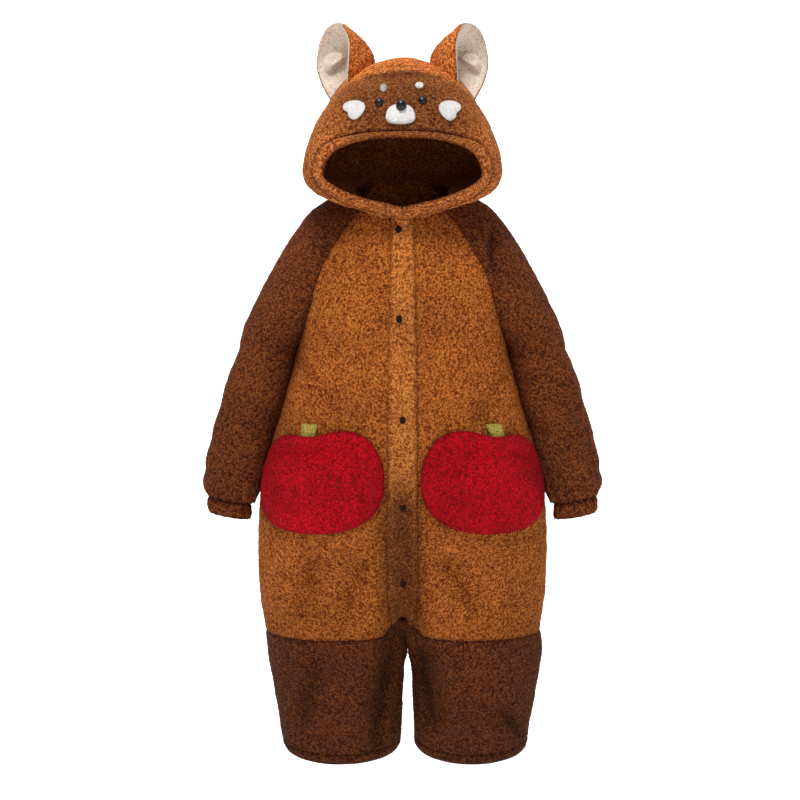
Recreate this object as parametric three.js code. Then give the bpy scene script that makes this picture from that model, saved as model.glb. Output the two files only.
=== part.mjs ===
import * as THREE from 'three';

// A child's one-piece hooded sleepsuit in curly fleece, filled out with no wearer in it.
// Sizes are in millimetres. The front faces -Y, +Z is up and the wearer's left is +X.
// The origin is the middle of the neck opening, where the shoulders carry the suit.

// Cloth and seams
const WALL = 3;
const BAND_WALL = 4;
const SEAM_GAP = 0.4;
const LAID_GAP = 0.5;
const NECK_GAP = 1.8;
const POCKET_LIFT = 1.1;

// Heights
const UNDERARM_Z = -202;
const KNEE_Z = -627;
const KNEE_RISE = 27;
const HEM_TOP_Z = -785;
const HEM_DEPTH = 16;
const HEM_FRONT_DIP = 13;
const CUFF_TOP_Z = -430;
const CUFF_LENGTH = 24;

// How far and from where the gap between the legs hangs to the wearer's left
const LEAN = { move: 8, z: -614, fall: 50, from: 130 };

// Half of the placket's width at the neck, the waist and the bottom, and what it covers of a front
const PLACKET_HALF = [{ z: -700, half: 14 }, { z: -600, half: 14 }, { z: -560, half: 20 },
  { z: -400, half: 21 }, { z: -200, half: 20 }, { z: 0, half: 16 }];
const PLACKET_LAP = 6;

// Sections of the trunk: half width at the side seams, half depth in front and behind
const TRUNK = [
  { z: -830, width: 177, front: 91, back: 87 },
  { z: -700, width: 197, front: 104, back: 98 },
  { z: -642, width: 204, front: 110, back: 104 },
  { z: -570, width: 214, front: 116, back: 110 },
  { z: -507, width: 217, front: 119, back: 114 },
  { z: -444, width: 215, front: 119, back: 116 },
  { z: -402, width: 209, front: 118, back: 116 },
  { z: -357, width: 200, front: 117, back: 116 },
  { z: -318, width: 189, front: 116, back: 115 },
  { z: -294, width: 181, front: 115, back: 115 },
  { z: -246, width: 168, front: 113, back: 115 },
  { z: -202, width: 156, front: 111, back: 115 },
  { z: -120, width: 140, front: 102, back: 113 },
  { z: -60, width: 120, front: 90, back: 104 },
  { z: -12, width: 100, front: 76, back: 92 },
  { z: 46, width: 80, front: 60, back: 71 },
];

// Sections of a leg: inner and outer edge, half depth, and how far the trunk has become two legs
const LEG = [
  { z: -830, inner: 10, outer: 177, front: 73, back: 69, share: 1 },
  { z: -786, inner: 9.5, outer: 182, front: 76, back: 72, share: 1 },
  { z: -750, inner: 8.5, outer: 187, front: 79, back: 74, share: 1 },
  { z: -714, inner: 7, outer: 194, front: 82, back: 77, share: 1 },
  { z: -678, inner: 4, outer: 200, front: 86, back: 80, share: 1 },
  { z: -664, inner: 0.6, outer: 202, front: 88, back: 82, share: 1 },
  { z: -630, inner: 0.5, outer: 206, front: 92, back: 88, share: 0.74 },
  { z: -600, inner: 1, outer: 210, front: 96, back: 92, share: 0.46 },
  { z: -560, inner: 1, outer: 215, front: 100, back: 96, share: 0.24 },
  { z: -500, inner: 1, outer: 217, front: 104, back: 100, share: 0.1 },
  { z: -420, inner: 1, outer: 212, front: 106, back: 100, share: 0.02 },
  { z: -380, inner: 1, outer: 206, front: 106, back: 100, share: 0 },
  { z: 50, inner: 1, outer: 100, front: 80, back: 80, share: 0 },
];

// Raglan rows from the underarm (0) to the neck (1): front seam, top line and back seam
const RAGLAN = [
  { t: 0, fx: 156, fy: 0, fz: -202, tx: 243, tz: -198, bx: 156, by: 0, bz: -202 },
  { t: 0.14, fx: 145, fy: -44, fz: -174, tx: 236, tz: -170, bx: 147, by: 46, bz: -176 },
  { t: 0.3, fx: 135, fy: -68, fz: -142, tx: 221, tz: -138, bx: 137, by: 72, bz: -138 },
  { t: 0.48, fx: 124, fy: -77, fz: -104, tx: 200, tz: -97, bx: 122, by: 87, bz: -92 },
  { t: 0.66, fx: 107, fy: -76, fz: -66, tx: 172, tz: -48, bx: 102, by: 90, bz: -45 },
  { t: 0.84, fx: 83, fy: -68, fz: -28, tx: 130, tz: 6, bx: 73, by: 80, bz: 4 },
  { t: 1, fx: 60, fy: -58, fz: 0, tx: 70, tz: 38, bx: 45, by: 60, bz: 44 },
];

// How the sleeve leaves the raglan seam, and the reach of its curve's handles
const SLEEVE_CAP = [
  { t: 0, out: 0, fore: 1, up: 0, seam: 64, top: 66 },
  { t: 0.14, out: 0.45, fore: 0.9, up: 0, seam: 48, top: 58 },
  { t: 0.3, out: 0.75, fore: 0.62, up: 0.1, seam: 40, top: 52 },
  { t: 0.48, out: 0.9, fore: 0.3, up: 0.2, seam: 36, top: 46 },
  { t: 0.66, out: 0.86, fore: 0.05, up: 0.42, seam: 30, top: 40 },
  { t: 0.84, out: 0.66, fore: -0.25, up: 0.6, seam: 24, top: 32 },
  { t: 1, out: 0.25, fore: -0.6, up: 0.5, seam: 14, top: 10 },
];

// Sections of the sleeve below the underarm
const SLEEVE = [
  { z: -460, inner: 226, outer: 290, y: -12, depth: 30, drop: 12 },
  { z: -430, inner: 224, outer: 292, y: -10, depth: 33, drop: 11 },
  { z: -412, inner: 218, outer: 298, y: -9, depth: 40, drop: 9 },
  { z: -390, inner: 211, outer: 298, y: -8, depth: 44, drop: 6 },
  { z: -354, inner: 203, outer: 291, y: -6, depth: 47, drop: 3 },
  { z: -294, inner: 185, outer: 275, y: -4, depth: 49, drop: 0 },
  { z: -246, inner: 171, outer: 261, y: -2, depth: 50, drop: 0 },
  { z: -202, inner: 156, outer: 243, y: 0, depth: 49.5, drop: 0 },
];

// Cuff: half width, half depth and gathers
const CUFF = { x: 259, y: -11, half: 31, depth: 27, gathers: 14, wave: 1.4, gap: 0.4, drop: 11 };

// Net of the hood for one side, from the rim to the centre-back seam, [x, y, z] at each crossing
const HOOD = [
  { row: 'rim', base: [0.5, -91, -19], low: [74, -99, 2], side: [116, -102, 24],
    wide: [131, -104, 56], upper: [112, -109, 92], high: [60, -113, 107], top: [0, -115, 110] },
  { row: 'cheek', base: [26, -75, -3], low: [92, -84, 7], side: [134, -82, 30],
    wide: [142, -78, 64], upper: [122, -84, 112], high: [70, -98, 147], top: [0, -103, 152] },
  { row: 'brow', base: [50, -63, 4], low: [108, -52, 24], side: [141, -44, 44],
    wide: [144, -38, 76], upper: [119, -42, 136], high: [69, -66, 180], top: [0, -74, 188] },
  { row: 'ear line', base: [70, 0, 39], low: [118, 4, 48], side: [141, 5, 60],
    wide: [144, 6, 90], upper: [118, 2, 150], high: [71, -18, 202], top: [0, -30, 213] },
  { row: 'crown', base: [64, 30, 44], low: [108, 44, 54], side: [130, 52, 74],
    wide: [134, 56, 104], upper: [110, 50, 158], high: [66, 24, 210], top: [0, 8, 230] },
  { row: 'rear', base: [34, 62, 46], low: [64, 88, 60], side: [80, 102, 84],
    wide: [84, 110, 120], upper: [72, 100, 168], high: [42, 62, 214], top: [0, 34, 232] },
  { row: 'centre back', base: [0, 70, 46], low: [0, 98, 60], side: [0, 116, 88],
    wide: [0, 124, 122], upper: [0, 112, 176], high: [0, 82, 212], top: [0, 52, 230] },
];
const HOOD_COLUMNS = ['base', 'low', 'side', 'wide', 'upper', 'high', 'top'];
const EAR_LINE_ROW = 3;

// Edge of the face opening, along the same columns
const OPENING = [{ row: 'opening', base: [0.5, -101, 2], low: [62, -107, 17], side: [101, -112, 34],
  wide: [113, -115, 51], upper: [96, -120, 80], high: [50, -124, 95], top: [0, -126, 98] }];
const RIM_BULGE = 5;

// How far outside a facet, as a share of it, a place still counts as on it: more than a seam's gap
const SLACK = 0.06;

// Ear: its chord at full breadth, tip height, walls, seat on the hood, gap between its two layers, and
// the front's cup as a share of the back's
const EAR = { chord: [57, 53], tipZ: 283, wall: 3, frontWall: 3.5, bulge: 7, seat: 2.4, gap: 0.8,
  frontCup: 0.5 };

// Middle, share of the chord and depth of the back's cup, from the ear's root (0) to its tip (1)
const EAR_SECTIONS = [
  { t: 0, x: 93, y: -24, breadth: 0.48, cup: 72 },
  { t: 0.2, x: 96.5, y: -22, breadth: 0.64, cup: 76 },
  { t: 0.4, x: 100, y: -19, breadth: 0.8, cup: 73 },
  { t: 0.6, x: 102.5, y: -16, breadth: 0.93, cup: 62 },
  { t: 0.78, x: 102.5, y: -14, breadth: 0.9, cup: 44 },
  { t: 0.9, x: 101.5, y: -13, breadth: 0.76, cup: 34 },
  { t: 0.97, x: 99.5, y: -12, breadth: 0.54, cup: 22 },
  { t: 1, x: 97, y: -12, breadth: 0.28, cup: 12 },
];

// Soft troughs (-) and ridges (+) in the cloth: both ends in plan of the front, half breadth and depth
const FOLDS = [
  { face: -1, x0: 14, z0: -600, x1: 52, z1: -770, wide: 13, deep: -7 },
  { face: -1, x0: 60, z0: -640, x1: 88, z1: -775, wide: 17, deep: 4 },
  { face: -1, x0: 100, z0: -655, x1: 160, z1: -770, wide: 16, deep: -5 },
  { face: -1, x0: 60, z0: -120, x1: 48, z1: -300, wide: 22, deep: -3.5 },
  { face: -1, x0: 104, z0: -190, x1: 112, z1: -330, wide: 20, deep: -4 },
  { face: -1, x0: 60, z0: -480, x1: 90, z1: -600, wide: 24, deep: -4 },
  { face: 1, x0: 12, z0: -560, x1: 60, z1: -740, wide: 16, deep: -6 },
  { face: 1, x0: 90, z0: -640, x1: 140, z1: -760, wide: 18, deep: -5 },
  { face: 1, x0: 90, z0: -60, x1: 50, z1: -300, wide: 24, deep: -5 },
  { face: 1, x0: 120, z0: -300, x1: 100, z1: -470, wide: 26, deep: -4 },
];

// Folds round the sleeve: height, turn from the seam (0 front, 0.5 top line, 1 back), tilt, depth
const SLEEVE_FOLDS = [
  { z: -250, turn: 0.2, spread: 0.2, tilt: 60, wide: 15, deep: -4 },
  { z: -300, turn: 0.75, spread: 0.25, tilt: -70, wide: 16, deep: -5 },
  { z: -335, turn: 0.28, spread: 0.22, tilt: -50, wide: 13, deep: -4.5 },
  { z: -385, turn: 0.55, spread: 0.3, tilt: 40, wide: 12, deep: -4 },
  { z: -395, turn: 0.12, spread: 0.16, tilt: 50, wide: 10, deep: -3.5 },
];

// Pocket: middle and half sizes on the front, as the way round from the middle, and up
const POCKET = { round: 127, z: -392.5, half: 102, height: 77, notch: 14, notchTurn: 0.34, power: 2.3,
  lean: 13, wall: 3, gape: 9, arc: 250 };
const STEM = { round: 140, z: -321, half: 12, height: 24, wall: 3, flare: 2, lean: 2 };

// What is laid on the face panel: middle, half width and height, thickness at edge and middle
const FACE = [
  { name: 'muzzle', material: 'white', x: -3, z: 132.5, half: 20.5, height: 14.5, edge: 2.5, dome: 7,
    power: 2.6, taper: 0.16, lobes: 0, notchAt: 0 },
  { name: 'nose', material: 'black', x: -2, z: 142.5, half: 7.5, height: 7.5, edge: 1.5, dome: 7,
    power: 2, taper: 0, lobes: 0, notchAt: 0, under: 7.4 },
  { name: 'cheek_right', material: 'white', x: -69, z: 139, half: 15.5, height: 14, edge: 2, dome: 3.2,
    power: 2.2, taper: -0.22, lobes: 0.14, notchAt: 0.7, under: 0.5 },
  { name: 'cheek_left', material: 'white', x: 67, z: 138, half: 15.5, height: 14.5, edge: 2, dome: 3.2,
    power: 2.2, taper: -0.22, lobes: 0.14, notchAt: 0, under: 0.5 },
  { name: 'brow_right', material: 'white', x: -27.5, z: 172.5, half: 5, height: 6.5, edge: 1.4, dome: 2.6,
    power: 2, taper: 0, lobes: 0, notchAt: 0 },
  { name: 'brow_left', material: 'white', x: 24, z: 176.5, half: 6, height: 5, edge: 1.4, dome: 2.6,
    power: 2, taper: 0, lobes: 0, notchAt: 0 },
  { name: 'eye_right', material: 'black', x: -33.5, z: 150.5, half: 6.5, height: 6, edge: 1, dome: 4.5,
    power: 2, taper: 0, lobes: 0, notchAt: 0 },
  { name: 'eye_left', material: 'black', x: 28.5, z: 153.5, half: 6.5, height: 6, edge: 1, dome: 4.5,
    power: 2, taper: 0, lobes: 0, notchAt: 0 },
];

// Snaps down the placket
const SNAPS = [{ x: -6, z: -30 }, { x: -5, z: -159 }, { x: 0, z: -303 }, { x: 1, z: -429 },
  { x: 1, z: -542 }];
const SNAP = { half: 5.8, edge: 1.2, dome: 3.4 };

// Fineness of the grids
const COLUMNS = 10;
const RAGLAN_ROWS = 7;
const TRUNK_ROWS = 12;
const LEG_ROWS = 5;
const SLEEVE_COLUMNS = 16;
const SLEEVE_ROWS = 8;
const HOOD_HALF_COLUMNS = 12;
const HOOD_ROWS = 7;
const EAR_COLUMNS = 12;
const EAR_ROWS = 7;

const MATERIALS = {
  orange: new THREE.MeshStandardMaterial({ color: 0xa15726, roughness: 1, metalness: 0 }),
  brown: new THREE.MeshStandardMaterial({ color: 0x5e331a, roughness: 1, metalness: 0 }),
  cream: new THREE.MeshStandardMaterial({ color: 0xd0b29e, roughness: 1, metalness: 0 }),
  red: new THREE.MeshStandardMaterial({ color: 0x9b0d1c, roughness: 1, metalness: 0 }),
  olive: new THREE.MeshStandardMaterial({ color: 0x8d7a35, roughness: 0.9, metalness: 0 }),
  white: new THREE.MeshStandardMaterial({ color: 0xefe9e4, roughness: 1, metalness: 0 }),
  black: new THREE.MeshStandardMaterial({ color: 0x140d0a, roughness: 0.35, metalness: 0 }),
};

const vec = (x, y, z) => new THREE.Vector3(x, y, z);
const mix = (a, b, t) => a + (b - a) * t;
const clamp = (value) => Math.min(1, Math.max(0, value));
const smooth = (value) => clamp(value) ** 2 * (3 - 2 * clamp(value));

// A cubic through four values, for the stretch between the middle two
function cubic(a, b, c, d, t) {
  const bend = 2 * b + (c - a) * t + (2 * a - 5 * b + 4 * c - d) * t * t;
  return (bend + (3 * b - a - 3 * c + d) * t * t * t) / 2;
}

// Reads one column of a table at a place between its rows, with slopes from the neighbouring rows
function read(table, place, key, column) {
  const from = table[0][key];
  const to = table[table.length - 1][key];
  const at = Math.min(Math.max(place, Math.min(from, to)), Math.max(from, to));
  let k = 0;
  while (k < table.length - 2 && table[k + 1][key] < at) {
    k += 1;
  }
  const [a, b] = [table[k], table[k + 1]];
  const span = b[key] - a[key];
  const before = table[Math.max(k - 1, 0)];
  const after = table[Math.min(k + 2, table.length - 1)];
  const slopeA = (b[column] - before[column]) / (b[key] - before[key]);
  const slopeB = (after[column] - a[column]) / (after[key] - a[key]);
  const t = (at - a[key]) / span;
  const rise = (b[column] - a[column]);
  const h = t * t * (3 - 2 * t);
  return a[column] + rise * h + span * (t * (1 - t) * ((1 - t) * slopeA - t * slopeB));
}

// A cubic Bezier from start to end, walked at an even pace
function bow(start, startPull, endPull, end) {
  const [one, two] = [start.clone().add(startPull), end.clone().add(endPull)];
  const curve = new THREE.CubicBezierCurve3(start, one, two, end);
  curve.arcLengthDivisions = 60;
  return (u) => curve.getPointAt(clamp(u));
}

// Handles of the curves across the body and sleeves, as shares of their reach
const BOW = 0.6;
const YOKE_LEAVE = 0.33;
const SLEEVE_ROUND = 0.75;

// How much more a leg's folds move it fore and aft than sideways
const FOLD_FORE = 1.6;

const placketHalf = (z) => read(PLACKET_HALF, z, 'z', 'half');

// Where a front ends beside the middle: under the placket, and at the middle below it
function frontEdge(z) {
  const covered = placketHalf(z) - PLACKET_LAP;
  return mix(0.3, covered, smooth((z + 612) / 24));
}

// Depth of the folds at a point of the front (-1) or back (1), fading to their ends
function foldDepth(x, z, face) {
  let depth = 0;
  for (const fold of FOLDS.filter((row) => row.face === face)) {
    const along = vec(fold.x1 - fold.x0, fold.z1 - fold.z0, 0);
    const reach = along.length();
    along.normalize();
    const [dx, dz] = [x - fold.x0, z - fold.z0];
    const place = (dx * along.x + dz * along.y) / reach;
    const off = (dx * along.y - dz * along.x) / fold.wide;
    const fade = smooth((place + 0.15) / 0.35) * smooth((1.15 - place) / 0.35);
    depth += fold.deep * Math.exp(-off * off) * fade;
  }
  return depth;
}

// A point of the trunk or leg on the wearer's left: u runs from the side seam to the middle
function trunkPoint(u, z, face) {
  const side = face < 0 ? 'front' : 'back';
  const width = read(TRUNK, z, 'z', 'width');
  const depth = read(TRUNK, z, 'z', side) * face;
  const edge = face < 0 ? frontEdge(z) : 0.3;
  const [fromSide, toMiddle] = [vec(0, BOW * depth, 0), vec(BOW * (width - edge), 0, 0)];
  const trunk = bow(vec(width, 0, z), fromSide, toMiddle, vec(edge, depth, z));
  const leg = read(LEG, z, 'z', 'outer') - read(LEG, z, 'z', 'inner');
  const middle = read(LEG, z, 'z', 'inner') + leg / 2;
  const deep = read(LEG, z, 'z', side) * face;
  const turn = Math.PI * u;
  const legPoint = vec(middle + leg / 2 * Math.cos(turn), deep * Math.sin(turn), z);
  const share = clamp(read(LEG, z, 'z', 'share'));
  const point = trunk(u).lerp(legPoint, share);
  const away = vec(point.x - middle * share, point.y * FOLD_FORE, 0).normalize();
  const still = smooth(u / 0.12) * smooth((1 - u) / 0.06);
  return point.addScaledVector(away, foldDepth(point.x, z, face) * still);
}

// The raglan seam (side 'f' or 'b') and the top line of the sleeve
const seamPoint = (t, side) => vec(read(RAGLAN, t, 't', `${side}x`), read(RAGLAN, t, 't', `${side}y`),
  read(RAGLAN, t, 't', `${side}z`));
const topPoint = (t) => vec(read(RAGLAN, t, 't', 'tx'), 0, read(RAGLAN, t, 't', 'tz'));

// A point of a front or back above the underarm: t runs from there (0) to the neck (1)
function yokePoint(u, t, face) {
  const seam = seamPoint(t, face < 0 ? 'f' : 'b');
  const z = mix(UNDERARM_Z, face < 0 ? -12 : 46, t);
  const depth = read(TRUNK, z, 'z', face < 0 ? 'front' : 'back') * face;
  const edge = face < 0 ? frontEdge(z) : 0.3;
  const middle = vec(edge, depth, z);
  const span = seam.x - edge;
  const fromSeam = vec(-YOKE_LEAVE * t * span, BOW * (depth - seam.y), 0);
  const point = bow(seam, fromSeam, vec(BOW * span, 0, 0), middle)(u);
  const still = smooth(u / 0.2) * smooth((1 - u) / 0.06);
  return point.addScaledVector(vec(0, face, 0), foldDepth(point.x, point.z, face) * still);
}

// Height of the knee seam, which rises to the middle
const kneeZ = (u) => KNEE_Z + KNEE_RISE * smooth((u - 0.8) / 0.2);

// Rows of a front or back from the neck down to the knee seam
function bodyPoint(u, row, face) {
  if (row < RAGLAN_ROWS) {
    return yokePoint(u, 1 - row / RAGLAN_ROWS, face);
  }
  return trunkPoint(u, mix(UNDERARM_Z, kneeZ(u), (row - RAGLAN_ROWS) / TRUNK_ROWS), face);
}

// Depth of the sleeve's folds at a place round it
function sleeveFold(u, z) {
  let depth = 0;
  for (const fold of SLEEVE_FOLDS) {
    const across = (u - fold.turn) / fold.spread;
    const off = (z - fold.z - fold.tilt * (u - fold.turn)) / fold.wide;
    depth += fold.deep * Math.exp(-off * off - across * across);
  }
  return depth;
}

// A point of the left sleeve below the underarm: u runs from the inner line round the front
function armPoint(u, z) {
  const at = (column) => read(SLEEVE, z, 'z', column);
  const inner = vec(at('inner'), at('y'), z);
  const outer = vec(at('outer'), at('y'), z);
  const reach = at('depth') / SLEEVE_ROUND;
  const face = u < 0.5 ? -1 : 1;
  const pull = vec(0, face * reach, 0);
  const half = u < 0.5 ? bow(inner, pull, pull, outer)(u * 2) : bow(outer, pull, pull, inner)(u * 2 - 1);
  const middle = (at('inner') + at('outer')) / 2;
  const away = vec(half.x - middle, half.y - at('y'), 0).normalize();
  const still = smooth(u / 0.08) * smooth((1 - u) / 0.08);
  half.addScaledVector(away, sleeveFold(u, z) * still);
  half.z -= at('drop') * (middle - half.x) / (at('outer') - at('inner'));
  return half;
}

// A point of the left sleeve between the two raglan seams
function capPoint(u, t) {
  const at = (column) => read(SLEEVE_CAP, t, 't', column);
  const face = u < 0.5 ? -1 : 1;
  const seam = seamPoint(t, face < 0 ? 'f' : 'b');
  const leave = vec(at('out'), face * at('fore'), at('up')).normalize().multiplyScalar(at('seam'));
  const pull = vec(0, face * at('top'), 0);
  const top = topPoint(t);
  return face < 0 ? bow(seam, leave, pull, top)(u * 2) : bow(top, pull, leave, seam)(u * 2 - 1);
}

// Rows of a sleeve from the neck down to the cuff
function sleevePoint(u, row) {
  if (row < RAGLAN_ROWS) {
    return capPoint(u, 1 - row / RAGLAN_ROWS);
  }
  return armPoint(u, mix(UNDERARM_Z, CUFF_TOP_Z, (row - RAGLAN_ROWS) / SLEEVE_ROWS));
}

// A point of the hood's net for one side: a from the neck to the top, v from row to row
function netPoint(net, a, v, side) {
  const column = Math.min(Math.floor(a * 6), 5);
  const row = Math.min(Math.floor(v), Math.max(net.length - 2, 0));
  const cell = (r, c) => {
    const at = net[Math.min(Math.max(r, 0), net.length - 1)];
    if (c < 0) {
      return at.base.map((value, k) => 2 * value - at.low[k]);
    }
    if (c > 6) {
      return [-at.high[0], at.high[1], at.high[2]];
    }
    return at[HOOD_COLUMNS[c]];
  };
  const along = (r, k) => cubic(cell(r, column - 1)[k], cell(r, column)[k], cell(r, column + 1)[k],
    cell(r, column + 2)[k], a * 6 - column);
  const value = (k) => {
    const first = row > 0 ? along(row - 1, k) : 2 * along(row, k) - along(row + 1, k);
    const last = row + 2 < net.length ? along(row + 2, k) : 2 * along(row + 1, k) - along(row, k);
    return cubic(first, along(row, k), along(row + 1, k), last, v - row);
  };
  return vec(side * value(0), value(1), value(2));
}

// A cloth piece: its grid of outer points, with the direction of the outside at each
function piece(name, material, columns, rows, point, inside, more = {}) {
  const grid = [];
  for (let j = 0; j <= rows; j += 1) {
    const row = [];
    for (let i = 0; i <= columns; i += 1) {
      row.push(point(i / columns, j));
    }
    grid.push(row);
  }
  const closed = Boolean(more.closed);
  const normals = grid.map((row, j) => row.map((_, i) => {
    const left = closed && i === 0 ? row[columns - 1] : row[Math.max(i - 1, 0)];
    const right = closed && i === columns ? row[1] : row[Math.min(i + 1, columns)];
    const up = grid[Math.max(j - 1, 0)][i];
    const down = grid[Math.min(j + 1, rows)][i];
    return right.clone().sub(left).cross(down.clone().sub(up)).normalize();
  }));
  let facing = 0;
  normals.forEach((row, j) => row.forEach((normal, i) => {
    facing += normal.dot(grid[j][i].clone().sub(inside));
  }));
  const sign = facing > 0 ? 1 : -1;
  normals.forEach((row) => row.forEach((normal) => normal.multiplyScalar(sign)));
  return { name, material, grid, normals, sign, wall: () => WALL, ...more };
}

const isEdge = (part, i, j) => j === 0 || j === part.grid.length - 1
  || (!part.closed && (i === 0 || i === part.grid[0].length - 1));

// Gives pieces that meet at a seam one direction of their edges there
function shareSeams(parts) {
  const edges = [];
  for (const part of parts) {
    part.grid.forEach((row, j) => row.forEach((point, i) => {
      if (isEdge(part, i, j)) {
        edges.push({ part, point, normal: part.normals[j][i], shared: part.normals[j][i].clone() });
      }
    }));
  }
  for (const edge of edges) {
    for (const other of edges) {
      if (other.part !== edge.part && other.point.distanceTo(edge.point) < 1
        && other.normal.dot(edge.normal) > 0) {
        edge.shared.add(other.normal);
      }
    }
  }
  edges.forEach((edge) => edge.normal.copy(edge.shared.normalize()));
}

// The way from an edge point into its piece, square to the seam and along the cloth
function inset(part, i, j) {
  const { grid, normals } = part;
  const [rows, columns] = [grid.length - 1, grid[0].length - 1];
  const here = grid[j][i];
  const move = vec(0, 0, 0);
  const add = (toward, before, after) => {
    const seam = after.clone().sub(before).normalize();
    const normal = normals[j][i];
    const way = toward.clone().sub(here);
    way.addScaledVector(seam, -way.dot(seam)).addScaledVector(normal, -way.dot(normal)).normalize();
    move.addScaledVector(way, SEAM_GAP / 2);
  };
  if (j === 0 || j === rows) {
    const next = grid[j === 0 ? 1 : rows - 1][i];
    add(next, grid[j][Math.max(i - 1, 0)], grid[j][Math.min(i + 1, columns)]);
  }
  if (!part.closed && (i === 0 || i === columns)) {
    const next = grid[j][i === 0 ? 1 : columns - 1];
    add(next, grid[Math.max(j - 1, 0)][i], grid[Math.min(j + 1, rows)][i]);
  }
  return move;
}

// Two layers of points, closed round their edges, as one body
function bodyOf(outer, inner, closed, sign) {
  const rows = outer.length - 1;
  const columns = outer[0].length - 1;
  const width = closed ? columns : columns + 1;
  const positions = [];
  for (const layer of [outer, inner]) {
    for (let j = 0; j <= rows; j += 1) {
      for (let i = 0; i < width; i += 1) {
        positions.push(...layer[j][i].toArray());
      }
    }
  }
  const count = (rows + 1) * width;
  const at = (layer, i, j) => layer * count + j * width + (i % width);
  const faces = [];
  const quad = (a, b, c, d) => faces.push([a, b, c], [a, c, d]);
  for (let j = 0; j < rows; j += 1) {
    for (let i = 0; i < columns; i += 1) {
      quad(at(0, i, j), at(0, i + 1, j), at(0, i + 1, j + 1), at(0, i, j + 1));
      quad(at(1, i, j), at(1, i, j + 1), at(1, i + 1, j + 1), at(1, i + 1, j));
    }
  }
  for (let i = 0; i < columns; i += 1) {
    quad(at(0, i, 0), at(1, i, 0), at(1, i + 1, 0), at(0, i + 1, 0));
    quad(at(0, i, rows), at(0, i + 1, rows), at(1, i + 1, rows), at(1, i, rows));
  }
  for (let j = 0; j < rows && !closed; j += 1) {
    quad(at(0, 0, j), at(0, 0, j + 1), at(1, 0, j + 1), at(1, 0, j));
    quad(at(0, columns, j), at(1, columns, j), at(1, columns, j + 1), at(0, columns, j + 1));
  }
  const indices = faces.flatMap(([a, b, c]) => (sign > 0 ? [a, b, c] : [a, c, b]));
  const geometry = new THREE.BufferGeometry();
  geometry.setAttribute('position', new THREE.Float32BufferAttribute(positions, 3));
  geometry.setIndex(indices);
  return geometry;
}

// The solid of a cloth piece: its outer points and the same points moved in by the wall
function clothBody(part) {
  const outer = part.grid.map((row, j) => row.map((point, i) => {
    const moved = point.clone();
    return isEdge(part, i, j) ? moved.add(inset(part, i, j)) : moved;
  }));
  const inner = outer.map((row, j) => row.map((point, i) => (
    point.clone().addScaledVector(part.normals[j][i], -part.wall(i, j)))));
  if (part.seat) {
    part.seat(outer);
    part.seat(inner);
  }
  part.grid = outer;
  return bodyOf(outer, inner, part.closed, part.sign);
}

// A point and its outside direction on the flat faces of a grid, at a place counted in cells
function onGrid(part, i, j) {
  const columns = part.grid[0].length - 1;
  const rows = part.grid.length - 1;
  const a = Math.min(Math.max(Math.floor(i), 0), columns - 1);
  const b = Math.min(Math.max(Math.floor(j), 0), rows - 1);
  const [s, t] = [i - a, j - b];
  const blend = (layer) => {
    const [p, q, r, d] = [layer[b][a], layer[b][a + 1], layer[b + 1][a + 1], layer[b + 1][a]];
    const weights = s >= t ? [1 - s, s - t, t, 0] : [1 - t, 0, s, t - s];
    return p.clone().multiplyScalar(weights[0]).addScaledVector(q, weights[1])
      .addScaledVector(r, weights[2]).addScaledVector(d, weights[3]);
  };
  return { point: blend(part.grid), normal: blend(part.normals).normalize() };
}

// The place on a grid that is seen at x and z (axes 0 and 2) or x and y (axes 0 and 1)
function seenOn(part, first, second, axis) {
  const flat = (vector) => [vector.x, axis === 2 ? vector.z : vector.y];
  const rows = part.grid.length - 1;
  const columns = part.grid[0].length - 1;
  for (let j = 0; j < rows; j += 1) {
    for (let i = 0; i < columns; i += 1) {
      const corners = [part.grid[j][i], part.grid[j][i + 1], part.grid[j + 1][i + 1], part.grid[j + 1][i]];
      const [p, q, r, d] = corners.map(flat);
      for (const [b, c, place] of [[q, r, (s, t) => [s + t, t]], [r, d, (s, t) => [s, s + t]]]) {
        const [e, f] = [[b[0] - p[0], b[1] - p[1]], [c[0] - p[0], c[1] - p[1]]];
        const g = [first - p[0], second - p[1]];
        const area = e[0] * f[1] - e[1] * f[0];
        const s = (g[0] * f[1] - g[1] * f[0]) / area;
        const t = (e[0] * g[1] - e[1] * g[0]) / area;
        const normal = part.normals[j][i];
        const seen = axis === 2 ? normal.y < 0.2 : normal.z > -0.2;
        if (s >= -SLACK && t >= -SLACK && s + t <= 1 + SLACK && seen) {
          const [di, dj] = place(s, t);
          return onGrid(part, i + di, j + dj);
        }
      }
    }
  }
  throw new Error(`no place on ${part.name} at ${first}, ${second}`);
}

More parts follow.
